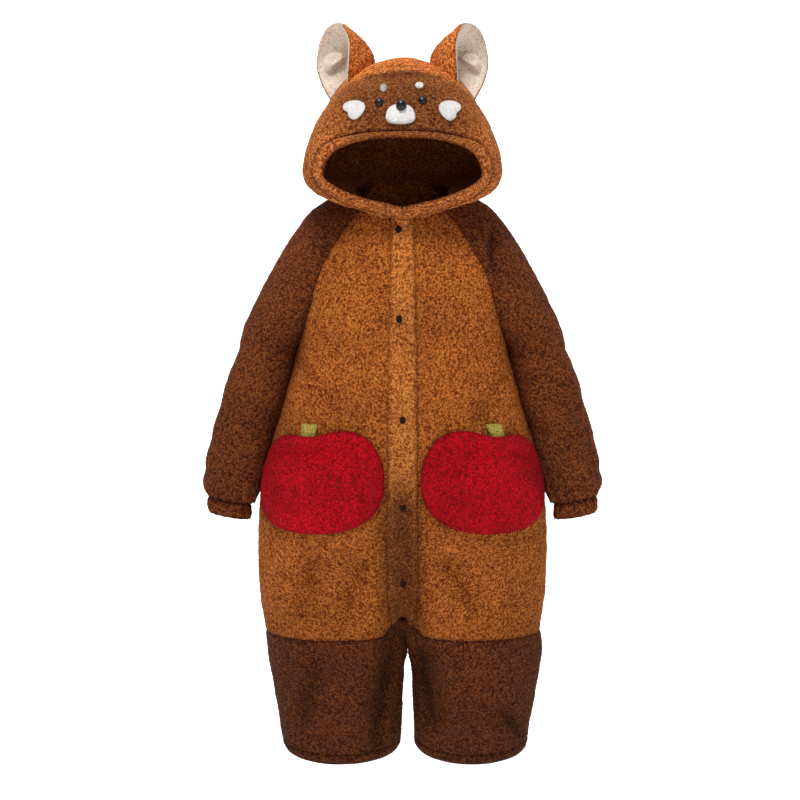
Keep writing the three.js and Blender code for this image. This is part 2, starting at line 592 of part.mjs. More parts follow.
// A piece laid on another: rings of points round its middle, under it and on top
function laidBody(surface, outline, rings, around, lift, thick) {
  const positions = [];
  const layer = (height) => {
    const first = positions.length / 3;
    const put = (share, turn) => {
      const reach = outline(turn);
      const { point, normal } = surface(reach[0] * share, reach[1] * share);
      positions.push(...point.addScaledVector(normal, height(share, turn)).toArray());
    };
    put(0, 0);
    for (let ring = 1; ring <= rings; ring += 1) {
      for (let k = 0; k < around; k += 1) {
        put(ring / rings, (2 * Math.PI * k) / around);
      }
    }
    return first;
  };
  const under = layer(lift);
  const over = layer((share, turn) => lift(share, turn) + thick(share, turn));
  const at = (first, ring, k) => (ring === 0 ? first : first + 1 + (ring - 1) * around + (k % around));
  const faces = [];
  for (let k = 0; k < around; k += 1) {
    faces.push([at(over, 0, 0), at(over, 1, k), at(over, 1, k + 1)]);
    faces.push([at(under, 0, 0), at(under, 1, k + 1), at(under, 1, k)]);
    for (let ring = 1; ring < rings; ring += 1) {
      const [a, b] = [at(over, ring, k), at(over, ring, k + 1)];
      const [c, d] = [at(over, ring + 1, k + 1), at(over, ring + 1, k)];
      faces.push([a, d, c], [a, c, b]);
      const [e, f] = [at(under, ring, k), at(under, ring, k + 1)];
      const [g, h] = [at(under, ring + 1, k + 1), at(under, ring + 1, k)];
      faces.push([e, g, h], [e, f, g]);
    }
    const [a, b] = [at(over, rings, k), at(over, rings, k + 1)];
    const [e, f] = [at(under, rings, k), at(under, rings, k + 1)];
    faces.push([a, e, f], [a, f, b]);
  }
  const geometry = new THREE.BufferGeometry();
  geometry.setAttribute('position', new THREE.Float32BufferAttribute(positions, 3));
  geometry.setIndex(faces.flat());
  return outwards(geometry);
}

// Turns a closed body's faces out when its volume reads as negative
function outwards(geometry) {
  const place = geometry.attributes.position;
  const index = geometry.index.array;
  let volume = 0;
  for (let k = 0; k < index.length; k += 3) {
    const [a, b, c] = [0, 1, 2].map((n) => vec(0, 0, 0).fromBufferAttribute(place, index[k + n]));
    volume += a.dot(b.cross(c));
  }
  if (volume < 0) {
    for (let k = 0; k < index.length; k += 3) {
      [index[k + 1], index[k + 2]] = [index[k + 2], index[k + 1]];
    }
  }
  return geometry;
}

// The legs as they hang in the picture: their gap lies a little to the wearer's left
function leaned(geometry) {
  const place = geometry.attributes.position;
  for (let k = 0; k < place.count; k += 1) {
    const below = smooth((LEAN.z - place.getZ(k)) / LEAN.fall);
    place.setX(k, place.getX(k) + LEAN.move * below * clamp((place.getX(k) + LEAN.from) / LEAN.from));
  }
  return geometry;
}

// The same body on the other side of the middle
function mirrored(geometry) {
  const copy = geometry.clone();
  copy.scale(-1, 1, 1);
  const index = copy.index.array;
  for (let k = 0; k < index.length; k += 3) {
    [index[k + 1], index[k + 2]] = [index[k + 2], index[k + 1]];
  }
  return copy;
}

const suit = new THREE.Group();

function add(name, geometry, material) {
  const mesh = new THREE.Mesh(geometry, MATERIALS[material]);
  mesh.name = name;
  suit.add(mesh);
}

// Fronts, backs, sleeves and legs of the wearer's left
const bodyRows = RAGLAN_ROWS + TRUNK_ROWS;
const trunkMiddle = vec(0, 0, -300);
const front = piece('front', 'orange', COLUMNS, bodyRows, (u, j) => bodyPoint(u, j, -1), trunkMiddle);
const back = piece('back', 'orange', COLUMNS, bodyRows, (u, j) => bodyPoint(u, j, 1), trunkMiddle);
const sleeveMiddle = vec(180, 0, -200);
const sleeveRows = RAGLAN_ROWS + SLEEVE_ROWS;
const sleeve = piece('sleeve', 'brown', SLEEVE_COLUMNS, sleeveRows, sleevePoint, sleeveMiddle);
const legFall = (u, j, face) => mix(kneeZ(u), hemTop(u, face), j / LEG_ROWS);
const hemTop = (u, face) => HEM_TOP_Z - (face < 0 ? HEM_FRONT_DIP : 0) * Math.sin(Math.PI * u);
const legMiddle = vec(100, 0, -720);
const legFront = piece('leg_front', 'brown', COLUMNS, LEG_ROWS,
  (u, j) => trunkPoint(u, legFall(u, j, -1), -1), legMiddle);
const legBack = piece('leg_back', 'brown', COLUMNS, LEG_ROWS,
  (u, j) => trunkPoint(u, legFall(u, j, 1), 1), legMiddle);
const hem = piece('hem', 'brown', COLUMNS * 2, 1, (u, j) => {
  const face = u < 0.5 ? -1 : 1;
  const along = u < 0.5 ? u * 2 : 2 - u * 2;
  const z = hemTop(along, face) - HEM_DEPTH * j;
  return trunkPoint(along, z, face);
}, legMiddle, { closed: true, wall: () => BAND_WALL });
const cuff = piece('cuff', 'brown', CUFF.gathers * 2, 2, (u, j) => {
  const turn = Math.PI - 2 * Math.PI * u;
  const gather = CUFF.wave * Math.cos(CUFF.gathers * 2 * Math.PI * u) + (j === 1 ? 1 : 0);
  const x = CUFF.x + (CUFF.half + gather) * Math.cos(turn);
  const z = CUFF_TOP_Z - CUFF.gap - CUFF_LENGTH * j / 2 - CUFF.drop * (CUFF.x - x) / (2 * CUFF.half);
  return vec(x, CUFF.y - (CUFF.depth + gather) * Math.sin(turn), z);
}, vec(CUFF.x, CUFF.y, CUFF_TOP_Z - CUFF_LENGTH / 2), { closed: true });

const sided = [front, back, sleeve, legFront, legBack, hem, cuff];
shareSeams(sided);
for (const part of sided) {
  const geometry = clothBody(part);
  const right = leaned(mirrored(geometry));
  add(`${part.name}_left`, leaned(geometry), part.material);
  add(`${part.name}_right`, right, part.material);
}

// Placket: a band over the edges of both fronts, made from their points and moved out
function overFront(j, x) {
  const row = front.grid[j];
  let i = row.length - 1;
  while (i > 1 && row[i - 1].x < x) {
    i -= 1;
  }
  const t = (x - row[i].x) / (row[i - 1].x - row[i].x);
  const normal = front.normals[j][i].clone().lerp(front.normals[j][i - 1], t).normalize();
  return { point: row[i].clone().lerp(row[i - 1], t), normal };
}
const bandColumns = [-1, -0.5, 0, 0.5, 1];
const bandNormals = [];
const placket = piece('placket', 'orange', bandColumns.length - 1, bodyRows, (u, j) => {
  const share = bandColumns[Math.round(u * (bandColumns.length - 1))];
  const edge = front.grid[j][COLUMNS];
  const reach = Math.abs(share) === 1 ? placketHalf(edge.z) : edge.x;
  const { point, normal } = overFront(j, reach);
  normal.multiply(vec(Math.sign(share), 1, 1)).normalize();
  point.x *= Math.sign(share);
  bandNormals.push(normal);
  return point.addScaledVector(normal, LAID_GAP + BAND_WALL);
}, vec(0, 0, -300), { wall: () => BAND_WALL });
placket.normals = placket.grid.map((row, j) => row.map((_, i) => bandNormals[j * bandColumns.length + i]));
add('placket', leaned(clothBody(placket)), 'orange');

SNAPS.forEach((snap, k) => {
  const surface = (a, b) => seenOn(placket, snap.x + a, snap.z + b, 2);
  const outline = (turn) => [SNAP.half * Math.cos(turn), SNAP.half * Math.sin(turn)];
  const thick = (share) => SNAP.edge + (SNAP.dome - SNAP.edge) * Math.sqrt(1 - share * share * 0.98);
  add(`snap_${k + 1}`, laidBody(surface, outline, 2, 10, () => LAID_GAP, thick), 'black');
});

// Hood: face panel, the two back halves and the band round the opening
const hoodMiddle = vec(0, 0, 90);
const neckEdge = [...front.grid[0].toReversed(), ...sleeve.grid[0], ...back.grid[0]];

// The place just above the neck seam that is nearest to a point
function overNeck(point) {
  const best = vec(0, 0, 0);
  let least = Infinity;
  for (let k = 0; k + 1 < neckEdge.length; k += 1) {
    const near = new THREE.Line3(neckEdge[k], neckEdge[k + 1]).closestPointToPoint(point, true, vec(0, 0, 0));
    if (near.distanceTo(point) < least) {
      least = near.distanceTo(point);
      best.copy(near);
    }
  }
  return best.add(vec(0, 0, NECK_GAP));
}

function hoodPoint(a, v, side) {
  const point = netPoint(HOOD, a, v, side);
  if (a > 0 || v < 0.8) {
    return point;
  }
  return overNeck(point.setX(Math.abs(point.x))).multiply(vec(side, 1, 1));
}
const bothSides = (u) => [1 - Math.abs(2 * u - 1), u < 0.5 ? -1 : 1];
const hoodFront = piece('hood_front', 'orange', HOOD_HALF_COLUMNS * 2, HOOD_ROWS, (u, j) => {
  const [a, side] = bothSides(u);
  return hoodPoint(a, (EAR_LINE_ROW * j) / HOOD_ROWS, side);
}, hoodMiddle);
const hoodBack = piece('hood_back', 'orange', HOOD_HALF_COLUMNS, HOOD_ROWS, (u, j) => (
  hoodPoint(u, EAR_LINE_ROW + (3 * j) / HOOD_ROWS, 1)), hoodMiddle);
const rim = piece('hood_rim', 'orange', HOOD_HALF_COLUMNS * 2, 3, (u, j) => {
  const [a, side] = bothSides(u);
  const outer = netPoint(HOOD, a, 0, side);
  const inner = netPoint([OPENING[0], OPENING[0]], a, 0, side);
  const point = outer.lerp(inner, j / 3);
  point.y -= RIM_BULGE * Math.sin((Math.PI * j) / 3);
  return point;
}, hoodMiddle, { wall: () => BAND_WALL });
shareSeams([hoodFront, hoodBack, rim]);
hoodBack.normals.forEach((row, j) => row.forEach((normal, i) => {
  if (hoodBack.grid[j][i].x < 0.01) {
    normal.setX(0).normalize();
  }
}));
add('hood_front', clothBody(hoodFront), 'orange');
const hoodBackBody = clothBody(hoodBack);
add('hood_back_left', hoodBackBody, 'orange');
add('hood_back_right', mirrored(hoodBackBody), 'orange');
add('hood_rim', clothBody(rim), 'orange');

// Ears: a cupped back and the cream front inside it, standing on the hood
function hoodTop(x, y) {
  try {
    return seenOn(hoodFront, x, y, 1).point.z;
  } catch {
    return seenOn(hoodBack, x, y, 1).point.z;
  }
}

function earPoint(u, v, share, moved) {
  const at = (column) => read(EAR_SECTIONS, v, 't', column);
  const long = Math.hypot(...EAR.chord);
  const [wide, fore] = EAR.chord.map((part) => part / long);
  const across = -Math.cos(Math.PI * u) * (at('breadth') * long / 2 - moved);
  const cup = Math.sin(Math.PI * u) * (at('cup') * share - moved);
  const x = at('x') + wide * across - fore * cup;
  const y = at('y') + fore * across + wide * cup;
  return vec(x, y, mix(hoodTop(x, y), EAR.tipZ - moved, v));
}
const seatOnHood = (layer) => layer[0].forEach((point) => {
  point.z = hoodTop(point.x, point.y) + EAR.seat;
});
const earMiddle = vec(100, -30, 220);
const earRise = (j) => 1 - (1 - j / EAR_ROWS) ** 1.3;
const earBack = piece('ear_back', 'orange', EAR_COLUMNS, EAR_ROWS, (u, j) => earPoint(u, earRise(j), 1, 0),
  earMiddle, { wall: () => EAR.wall, seat: seatOnHood });
const earFront = piece('ear_front', 'cream', EAR_COLUMNS, EAR_ROWS, (u, j) => (
  earPoint(u, earRise(j), EAR.frontCup, EAR.wall + EAR.gap)), earMiddle, { seat: seatOnHood });
earFront.wall = (i, j) => {
  const [u, v] = [i / EAR_COLUMNS, earRise(j)];
  return EAR.frontWall + EAR.bulge * Math.exp(-(((u - 0.5) / 0.2) ** 2) - ((v - 0.42) / 0.2) ** 2);
};
for (const part of [earBack, earFront]) {
  const geometry = clothBody(part);
  add(`${part.name}_left`, geometry, part.material);
  add(`${part.name}_right`, mirrored(geometry), part.material);
}

// Outlines of the laid pieces, by the turn round their middle
const power = (value, n) => Math.sign(value) * Math.abs(value) ** (2 / n);

function appleOutline(turn) {
  const off = (turn - Math.PI / 2) / POCKET.notchTurn;
  const notch = 1 - (POCKET.notch / POCKET.height) * Math.exp(-off * off);
  const x = POCKET.half * power(Math.cos(turn), POCKET.power) * notch;
  const lean = POCKET.lean * Math.max(0, Math.sin(turn)) * Math.cos(turn);
  return [x, POCKET.height * power(Math.sin(turn), POCKET.power) * notch - lean];
}

function stemOutline(turn) {
  const [x, z] = [power(Math.cos(turn), 7), power(Math.sin(turn), 7)];
  return [(STEM.half + STEM.flare * z) * x - STEM.lean * z, STEM.height / 2 * z];
}

// A place on the wearer's left front, by the way round from the middle and the height
function onFront(round, z) {
  const u = 1 - (round - frontEdge(z)) / (POCKET.arc - frontEdge(z));
  const step = 0.01;
  const point = trunkPoint(u, z, -1);
  const across = trunkPoint(u + step, z, -1).sub(trunkPoint(u - step, z, -1));
  const down = trunkPoint(u, z - 1, -1).sub(trunkPoint(u, z + 1, -1));
  return { point, normal: across.cross(down).normalize() };
}
const gape = (share, turn) => {
  const off = (turn - Math.PI / 2) / 0.75;
  return POCKET_LIFT + POCKET.gape * smooth(share) * Math.exp(-off * off);
};
const pocket = laidBody((a, b) => onFront(POCKET.round + a, POCKET.z + b), appleOutline, 4, 30, gape,
  () => POCKET.wall);
add('pocket_left', pocket, 'red');
add('pocket_right', mirrored(pocket), 'red');
const stem = laidBody((a, b) => onFront(STEM.round + a, STEM.z + b), stemOutline, 1, 12, () => POCKET_LIFT,
  () => STEM.wall);
add('stem_left', stem, 'olive');
add('stem_right', mirrored(stem), 'olive');

// Face: felt patches, eyes and nose on the face panel
function faceOutline(mark) {
  return (turn) => {
    const lobe = 1 - mark.lobes * Math.exp(-(((turn - mark.notchAt) / 0.3) ** 2));
    const [x, z] = [power(Math.cos(turn), mark.power), power(Math.sin(turn), mark.power)];
    return [mark.half * lobe * (1 - mark.taper * z) * x, mark.height * lobe * z];
  };
}
for (const mark of FACE) {
  const thick = (share) => mark.edge + (mark.dome - mark.edge) * Math.sqrt(1 - share * share);
  const lift = () => LAID_GAP + (mark.under ?? 0);
  const surface = (a, b) => seenOn(hoodFront, mark.x + a, mark.z + b, 2);
  add(mark.name, laidBody(surface, faceOutline(mark), 2, 14, lift, thick), mark.material);
}

export default suit;
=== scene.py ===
import math

import bpy
import numpy as np
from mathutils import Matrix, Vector
from mathutils.bvhtree import BVHTree


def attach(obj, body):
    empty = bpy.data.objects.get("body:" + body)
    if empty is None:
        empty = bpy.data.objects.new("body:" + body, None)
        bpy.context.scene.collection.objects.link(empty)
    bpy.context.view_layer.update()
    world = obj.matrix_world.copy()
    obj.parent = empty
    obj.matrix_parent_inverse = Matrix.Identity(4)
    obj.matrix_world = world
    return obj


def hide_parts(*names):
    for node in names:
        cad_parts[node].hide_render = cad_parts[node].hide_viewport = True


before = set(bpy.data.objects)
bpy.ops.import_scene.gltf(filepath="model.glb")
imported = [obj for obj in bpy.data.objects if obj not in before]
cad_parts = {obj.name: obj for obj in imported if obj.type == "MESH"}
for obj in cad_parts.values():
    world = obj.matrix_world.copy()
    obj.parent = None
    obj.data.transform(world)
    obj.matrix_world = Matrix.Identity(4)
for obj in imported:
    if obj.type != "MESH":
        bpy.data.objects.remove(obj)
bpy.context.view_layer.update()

# A child's hooded one-piece sleepsuit in curly fleece. Tables are in millimetres, meshes in metres.
# The front faces -Y and the wearer's left is +X.
MM = 0.001

# Fineness: the step of the pile's grid, and how many of its steps one step of the plain inside takes
PILE_STEP = 1.95
INSIDE_EVERY = 3

# Camera: on the middle line, in front, a little above the middle of the picture
CAMERA_AWAY = 2400
CAMERA_HEIGHT = -120
CAMERA_AIM = -205
PICTURE_MIDDLE = (-3.75, -282)
PICTURE_SPAN = 1200
SENSOR = 36

# Heights and cloth
UNDERARM_Z = -202
KNEE_Z = -627
KNEE_RISE = 27
HEM_TOP_Z = -785
HEM_DEPTH = 16
HEM_FRONT_DIP = 13
CUFF_TOP_Z = -430
CUFF_LENGTH = 24
WALL = 3
BAND_WALL = 4
PLACKET_LAP = 6
BOW = 0.6
RAGLAN_END = 1.02
CREASE_FADE = 12
FAR = 1e3

# The same driving tables as the solids: placket, trunk, leg, raglan, sleeve, hood
PLACKET_HALF = dict(z=[-700, -600, -560, -400, -200, 0], half=[14, 14, 20, 21, 20, 16])
TRUNK = dict(
    z=[-830, -700, -642, -570, -507, -444, -402, -357, -318, -294, -246, -202, -120, -60, -12, 46],
    width=[177, 197, 204, 214, 217, 215, 209, 200, 189, 181, 168, 156, 140, 120, 100, 80],
    front=[91, 104, 110, 116, 119, 119, 118, 117, 116, 115, 113, 111, 102, 90, 76, 60],
    back=[87, 98, 104, 110, 114, 116, 116, 116, 115, 115, 115, 115, 113, 104, 92, 71])
LEG = dict(
    z=[-830, -786, -750, -714, -678, -664, -630, -600, -560, -500, -420, -380, 50],
    inner=[10, 9.5, 8.5, 7, 4, 0.6, -0.4, -1, -2, -3, -3, -3, -3],
    outer=[177, 182, 187, 194, 200, 202, 206, 210, 215, 217, 212, 206, 100],
    front=[73, 76, 79, 82, 86, 88, 92, 96, 100, 104, 106, 106, 80],
    back=[69, 72, 74, 77, 80, 82, 88, 92, 96, 100, 100, 100, 80],
    share=[1, 1, 1, 1, 1, 1, 0.74, 0.46, 0.24, 0.1, 0.02, 0, 0])
RAGLAN = dict(
    t=[0, 0.14, 0.3, 0.48, 0.66, 0.84, 1],
    fx=[156, 145, 135, 124, 107, 83, 60],
    fy=[0, -44, -68, -77, -76, -68, -58],
    fz=[-202, -174, -142, -104, -66, -28, 0],
    tx=[243, 236, 221, 200, 172, 130, 70],
    tz=[-198, -170, -138, -97, -48, 6, 38],
    bx=[156, 147, 137, 122, 102, 73, 45],
    by=[0, 46, 72, 87, 90, 80, 60],
    bz=[-202, -176, -138, -92, -45, 4, 44])
SLEEVE_CAP = dict(
    t=[0, 0.14, 0.3, 0.48, 0.66, 0.84, 1],
    out=[0, 0.45, 0.75, 0.9, 0.86, 0.66, 0.25],
    fore=[1, 0.9, 0.62, 0.3, 0.05, -0.25, -0.6],
    up=[0, 0, 0.1, 0.2, 0.42, 0.6, 0.5],
    seam=[64, 48, 40, 36, 30, 24, 14],
    top=[66, 58, 52, 46, 40, 32, 10])
SLEEVE = dict(
    z=[-460, -430, -412, -390, -354, -294, -246, -202],
    inner=[224, 221, 212, 205, 196, 178, 164, 155.5],
    outer=[290, 292, 298, 298, 291, 275, 261, 243],
    y=[-12, -10, -9, -8, -6, -4, -2, 0],
    depth=[30, 33, 40, 44, 47, 49, 50, 49.5],
    drop=[12, 11, 9, 6, 3, 0, 0, 0])
CUFF = dict(x=259, y=-11, half=31, depth=27, drop=11, gathers=14, wave=1.4, wave_above=2.6, fade=22)

# Rows of the hood's net from the rim to the centre-back seam, each from the neck up to the top
HOOD = np.array([
    [[0.5, -91, -19], [74, -99, 2], [116, -102, 24], [131, -104, 56], [112, -109, 92],
     [60, -113, 107], [0, -115, 110]],
    [[26, -75, -3], [92, -84, 7], [134, -82, 30], [142, -78, 64], [122, -84, 112],
     [70, -98, 147], [0, -103, 152]],
    [[50, -63, 4], [108, -52, 24], [141, -44, 44], [144, -38, 76], [119, -42, 136],
     [69, -66, 180], [0, -74, 188]],
    [[70, 0, 39], [118, 4, 48], [141, 5, 60], [144, 6, 90], [118, 2, 150],
     [71, -18, 202], [0, -30, 213]],
    [[64, 30, 44], [108, 44, 54], [130, 52, 74], [134, 56, 104], [110, 50, 158],
     [66, 24, 210], [0, 8, 230]],
    [[34, 62, 46], [64, 88, 60], [80, 102, 84], [84, 110, 120], [72, 100, 168],
     [42, 62, 214], [0, 34, 232]],
    [[0, 70, 46], [0, 98, 60], [0, 116, 88], [0, 124, 122], [0, 112, 176],
     [0, 82, 212], [0, 52, 230]]], float)
EAR_LINE = 3
LAST_ROW = 6
OPENING = np.array([[0.5, -101, 2], [62, -107, 17], [101, -112, 34], [113, -115, 51], [96, -120, 80],
                    [50, -124, 95], [0, -126, 98]], float)
RIM_BULGE = 5
NECK_GAP = -5

EAR = dict(chord=(57, 53), tip_z=279, wall=3, front_wall=3.5, bulge=13, front_cup=0.6, moved=1.4)
EAR_SECTIONS = dict(
    t=[0, 0.2, 0.4, 0.6, 0.78, 0.9, 0.97, 1],
    x=[93, 96.5, 100, 102.5, 102.5, 101.5, 99.5, 97],
    y=[-24, -22, -19, -16, -14, -13, -12, -12],
    breadth=[0.5, 0.66, 0.82, 0.92, 0.79, 0.57, 0.35, 0.14],
    cup=[72, 74, 69, 56, 38, 24, 14, 4])
BALL = dict(u=0.77, half_u=0.17, v=0.48, half_v=0.16, steep=2.2)
LEAN = dict(move=8, z=-614, fall=50, start=130)
POCKET = dict(round=127, z=-392.5, half=102, height=77, notch=14, notch_turn=0.34, power=2.3, lean=13,
              wall=3.5, gape=9, arc=250, lift=2.2, sag=(-4, -6))
STEM = dict(round=140, z=-324, half=12, height=26, wall=3, flare=2, lean=(2, -1))

# Main creases: face (-1 front, 1 back), both ends (x, z), half breadth and depth, - for a trough
FOLDS = [
    (-1, (14, -600), (52, -770), 13, -7), (-1, (60, -640), (88, -775), 17, 4),
    (-1, (100, -655), (160, -770), 16, -5), (-1, (60, -120), (48, -300), 22, -3.5),
    (-1, (104, -190), (112, -330), 20, -4), (-1, (60, -480), (90, -600), 24, -4),
    (1, (12, -560), (60, -740), 16, -6), (1, (90, -640), (140, -760), 18, -5),
    (1, (90, -60), (50, -300), 24, -5), (1, (120, -300), (100, -470), 26, -4)]
# Creases that lie on one side of the suit only, read in the same way
CREASES = [
    (-1, (-108, -44), (-118, -106), 6, -6.5), (-1, (131, -27), (131, -95), 6, -6.5),
    (-1, (-16, -650), (-40, -790), 10, -8), (-1, (20, -650), (44, -760), 10, -8),
    (-1, (146, -735), (184, -785), 8, -6), (-1, (1, -400), (1, -612), 24, -9),
    (-1, (-150, -222), (-92, -296), 11, -4), (-1, (152, -236), (112, -304), 11, -3.5),
    (-1, (-128, -505), (-150, -592), 15, -4), (-1, (62, -506), (104, -586), 13, -4),
    (-1, (-60, -510), (-84, -600), 12, -3.5), (-1, (-120, -650), (-150, -760), 13, -5),
    (1, (-44, -60), (-92, -240), 14, -4), (1, (64, -250), (24, -420), 16, -4),
    (1, (-112, -420), (-62, -560), 16, -5), (1, (84, -500), (132, -600), 14, -4),
    (1, (-40, -640), (-84, -770), 13, -5), (1, (0, -380), (0, -600), 22, -6),
    (-1, (-34, 196), (34, 196), 6, -4)]
INSEAM = dict(top=-606, x=5, half=4, fade=12)
# Round the sleeve: height, turn, spread, tilt, half breadth and depth
SLEEVE_FOLDS = [
    (-250, 0.2, 0.2, 60, 15, -4), (-300, 0.75, 0.25, -70, 16, -5), (-335, 0.28, 0.22, -50, 13, -4.5),
    (-385, 0.55, 0.3, 40, 12, -4), (-395, 0.12, 0.16, 50, 10, -3.5)]

# Painted light and shade in the fleece's colour: darker down the suit as the light from above falls off, then
# shares for cuffs (lighter), the face's panel (darker), ears and crown (lighter), painted shade in the seam
# between face and crown, and painted shade in the hollow below the placket's middle
PAINTED_SHADE_AND_TONE = dict(z=[-800, -660, -560, -420, -200, 0], level=[0.57, 0.68, 0.84, 0.92, 1, 1],
             cuff=1.3, face=0.54, crown=0.6, seam=0.5, valley=0.4)
CUFFS_FROM = dict(x=222, z=-426)
FACE_PANEL = dict(half=95, z=144, high=54)
CROWN_SEAM = dict(z=199, half=60, drop=10, wide=4, end=58)
SNAP = (4.4, 5.4)
SNAPS = [(-6, -30), (-5, -159), (0, -303), (1, -429), (1, -542)]


# Reading tables

def smooth(value):
    value = np.clip(value, 0, 1)
    return value * value * (3 - 2 * value)


def mix(a, b, t):
    return a + (b - a) * t


def read(table, key, column, place):
    """One column of a table at places between its rows, with slopes from the neighbouring rows."""
    keys, values = np.array(table[key], float), np.array(table[column], float)
    place = np.clip(np.asarray(place, float), keys[0], keys[-1])
    k = np.clip(np.searchsorted(keys, place, "left") - 1, 0, len(keys) - 2)
    before, after = np.maximum(k - 1, 0), np.minimum(k + 2, len(keys) - 1)
    span = keys[k + 1] - keys[k]
    slope_a = (values[k + 1] - values[before]) / (keys[k + 1] - keys[before])
    slope_b = (values[after] - values[k]) / (keys[after] - keys[k])
    t = (place - keys[k]) / span
    pull = span * t * (1 - t) * ((1 - t) * slope_a - t * slope_b)
    return values[k] + (values[k + 1] - values[k]) * t * t * (3 - 2 * t) + pull


def point(x, y, z):
    return np.stack(np.broadcast_arrays(x, y, z), axis=-1).astype(float)


def bow(start, start_pull, end_pull, end, u, steps=24):
    """A cubic Bezier walked at an even pace, for whole arrays of ends."""
    t = np.linspace(0, 1, steps + 1)[:, None]
    one, two = start + start_pull, end + end_pull

    def at(t):
        return ((1 - t) ** 3 * start[..., None, :] + 3 * t * (1 - t) ** 2 * one[..., None, :]
                + 3 * t * t * (1 - t) * two[..., None, :] + t ** 3 * end[..., None, :])

    walk = np.cumsum(np.linalg.norm(np.diff(at(t), axis=-2), axis=-1), axis=-1)
    walk = np.concatenate([np.zeros_like(walk[..., :1]), walk], axis=-1) / walk[..., -1:]
    u = np.broadcast_to(u, walk.shape[:-1])[..., None]
    k = np.clip((walk <= u).sum(-1, keepdims=True) - 1, 0, steps - 1)
    low, high = np.take_along_axis(walk, k, -1), np.take_along_axis(walk, k + 1, -1)
    t = ((k + np.clip((u - low) / (high - low), 0, 1)) / steps)[..., None]
    return at(t)[..., 0, :]


# Forms of the suit on the wearer's left

def placket_half(z):
    return read(PLACKET_HALF, "z", "half", z)


def front_edge(z):
    return mix(0, placket_half(z) - PLACKET_LAP, smooth((z + 603) / 24))


def beside_line(x, z, start, end, wide):
    """How far along a line places lie (0 to 1), and how far off it in its half breadths."""
    along = np.subtract(end, start).astype(float)
    reach = np.hypot(*along)
    along /= reach
    dx, dz = x - start[0], z - start[1]
    return (dx * along[0] + dz * along[1]) / reach, (dx * along[1] - dz * along[0]) / wide


def fold_depth(x, z, face):
    depth = np.zeros(np.broadcast(x, z).shape)
    for side, start, end, wide, deep in FOLDS:
        if side != face:
            continue
        place, off = beside_line(x, z, start, end, wide)
        depth += deep * np.exp(-off * off) * smooth((place + 0.15) / 0.35) * smooth((1.15 - place) / 0.35)
    return depth


def trunk_point(u, z, face):
    side = "front" if face < 0 else "back"
    width, depth = read(TRUNK, "z", "width", z), read(TRUNK, "z", side, z) * face
    edge = front_edge(z) if face < 0 else 0 * z
    trunk = bow(point(width, 0, z), point(0, BOW * depth, 0), point(BOW * (width - edge), 0, 0),
                point(edge, depth, z), u)
    half = (read(LEG, "z", "outer", z) - read(LEG, "z", "inner", z)) / 2
    middle = read(LEG, "z", "inner", z) + half
    deep = read(LEG, "z", side, z) * face
    leg = point(middle + half * np.cos(math.pi * u), deep * np.sin(math.pi * u), z)
    share = np.clip(read(LEG, "z", "share", z), 0, 1)
    made = mix(trunk, leg, share[..., None])
    away = point(made[..., 0] - middle * share, made[..., 1] * 1.6, 0)
    away /= np.linalg.norm(away, axis=-1, keepdims=True) + 1e-9
    still = smooth(u / 0.12) * smooth((1 - u) / 0.06)
    return made + away * (fold_depth(made[..., 0], z, face) * still)[..., None]


def raglan(t, side):
    return point(*(read(RAGLAN, "t", side + axis, t) for axis in "xyz"))


def yoke_point(u, t, face):
    seam = raglan(t, "f" if face < 0 else "b")
    z = mix(UNDERARM_Z, -12 if face < 0 else 46, t)
    depth = read(TRUNK, "z", "front" if face < 0 else "back", z) * face
    edge = front_edge(z) if face < 0 else 0 * z
    span = seam[..., 0] - edge
    made = bow(seam, point(-0.33 * t * span, BOW * (depth - seam[..., 1]), 0), point(BOW * span, 0, 0),
               point(edge, depth, z), u)
    still = smooth(u / 0.2) * smooth((1 - u) / 0.06)
    made[..., 1] += face * fold_depth(made[..., 0], made[..., 2], face) * still
    return made


def knee_z(u):
    return KNEE_Z + KNEE_RISE * smooth((u - 0.8) / 0.2)


def body_point(u, v, face):
    """v: 0 at the neck, 1 at the underarm, 2 at the knee seam."""
    upper = yoke_point(u, np.clip(1 - v, 0, 1), face)
    lower = trunk_point(u, mix(UNDERARM_Z, knee_z(u), np.clip(v - 1, 0, 1)), face)
    return np.where((v < 1)[..., None], upper, lower)


def hem_top(u, face):
    return HEM_TOP_Z - (HEM_FRONT_DIP * np.sin(math.pi * u) if face < 0 else 0 * u)


def arm_point(u, z):
    inner, outer, y, depth, drop = (read(SLEEVE, "z", c, z) for c in ("inner", "outer", "y", "depth", "drop"))
    face = np.where(u < 0.5, -1, 1)
    pull = point(0, face * depth / 0.75, 0)
    first = (u < 0.5)[..., None]
    a, b = point(inner, y, z), point(outer, y, z)
    half = bow(np.where(first, a, b), pull, pull, np.where(first, b, a), np.where(u < 0.5, u * 2, u * 2 - 1))
    middle = (inner + outer) / 2
    away = point(half[..., 0] - middle, half[..., 1] - y, 0)
    away /= np.linalg.norm(away, axis=-1, keepdims=True) + 1e-9
    fold = sum(deep * np.exp(-((z - at - tilt * (u - turn)) / wide) ** 2 - ((u - turn) / spread) ** 2)
               for at, turn, spread, tilt, wide, deep in SLEEVE_FOLDS)
    half += away * (fold * smooth(u / 0.08) * smooth((1 - u) / 0.08))[..., None]
    half[..., 2] -= drop * (middle - half[..., 0]) / (outer - inner)
    return half


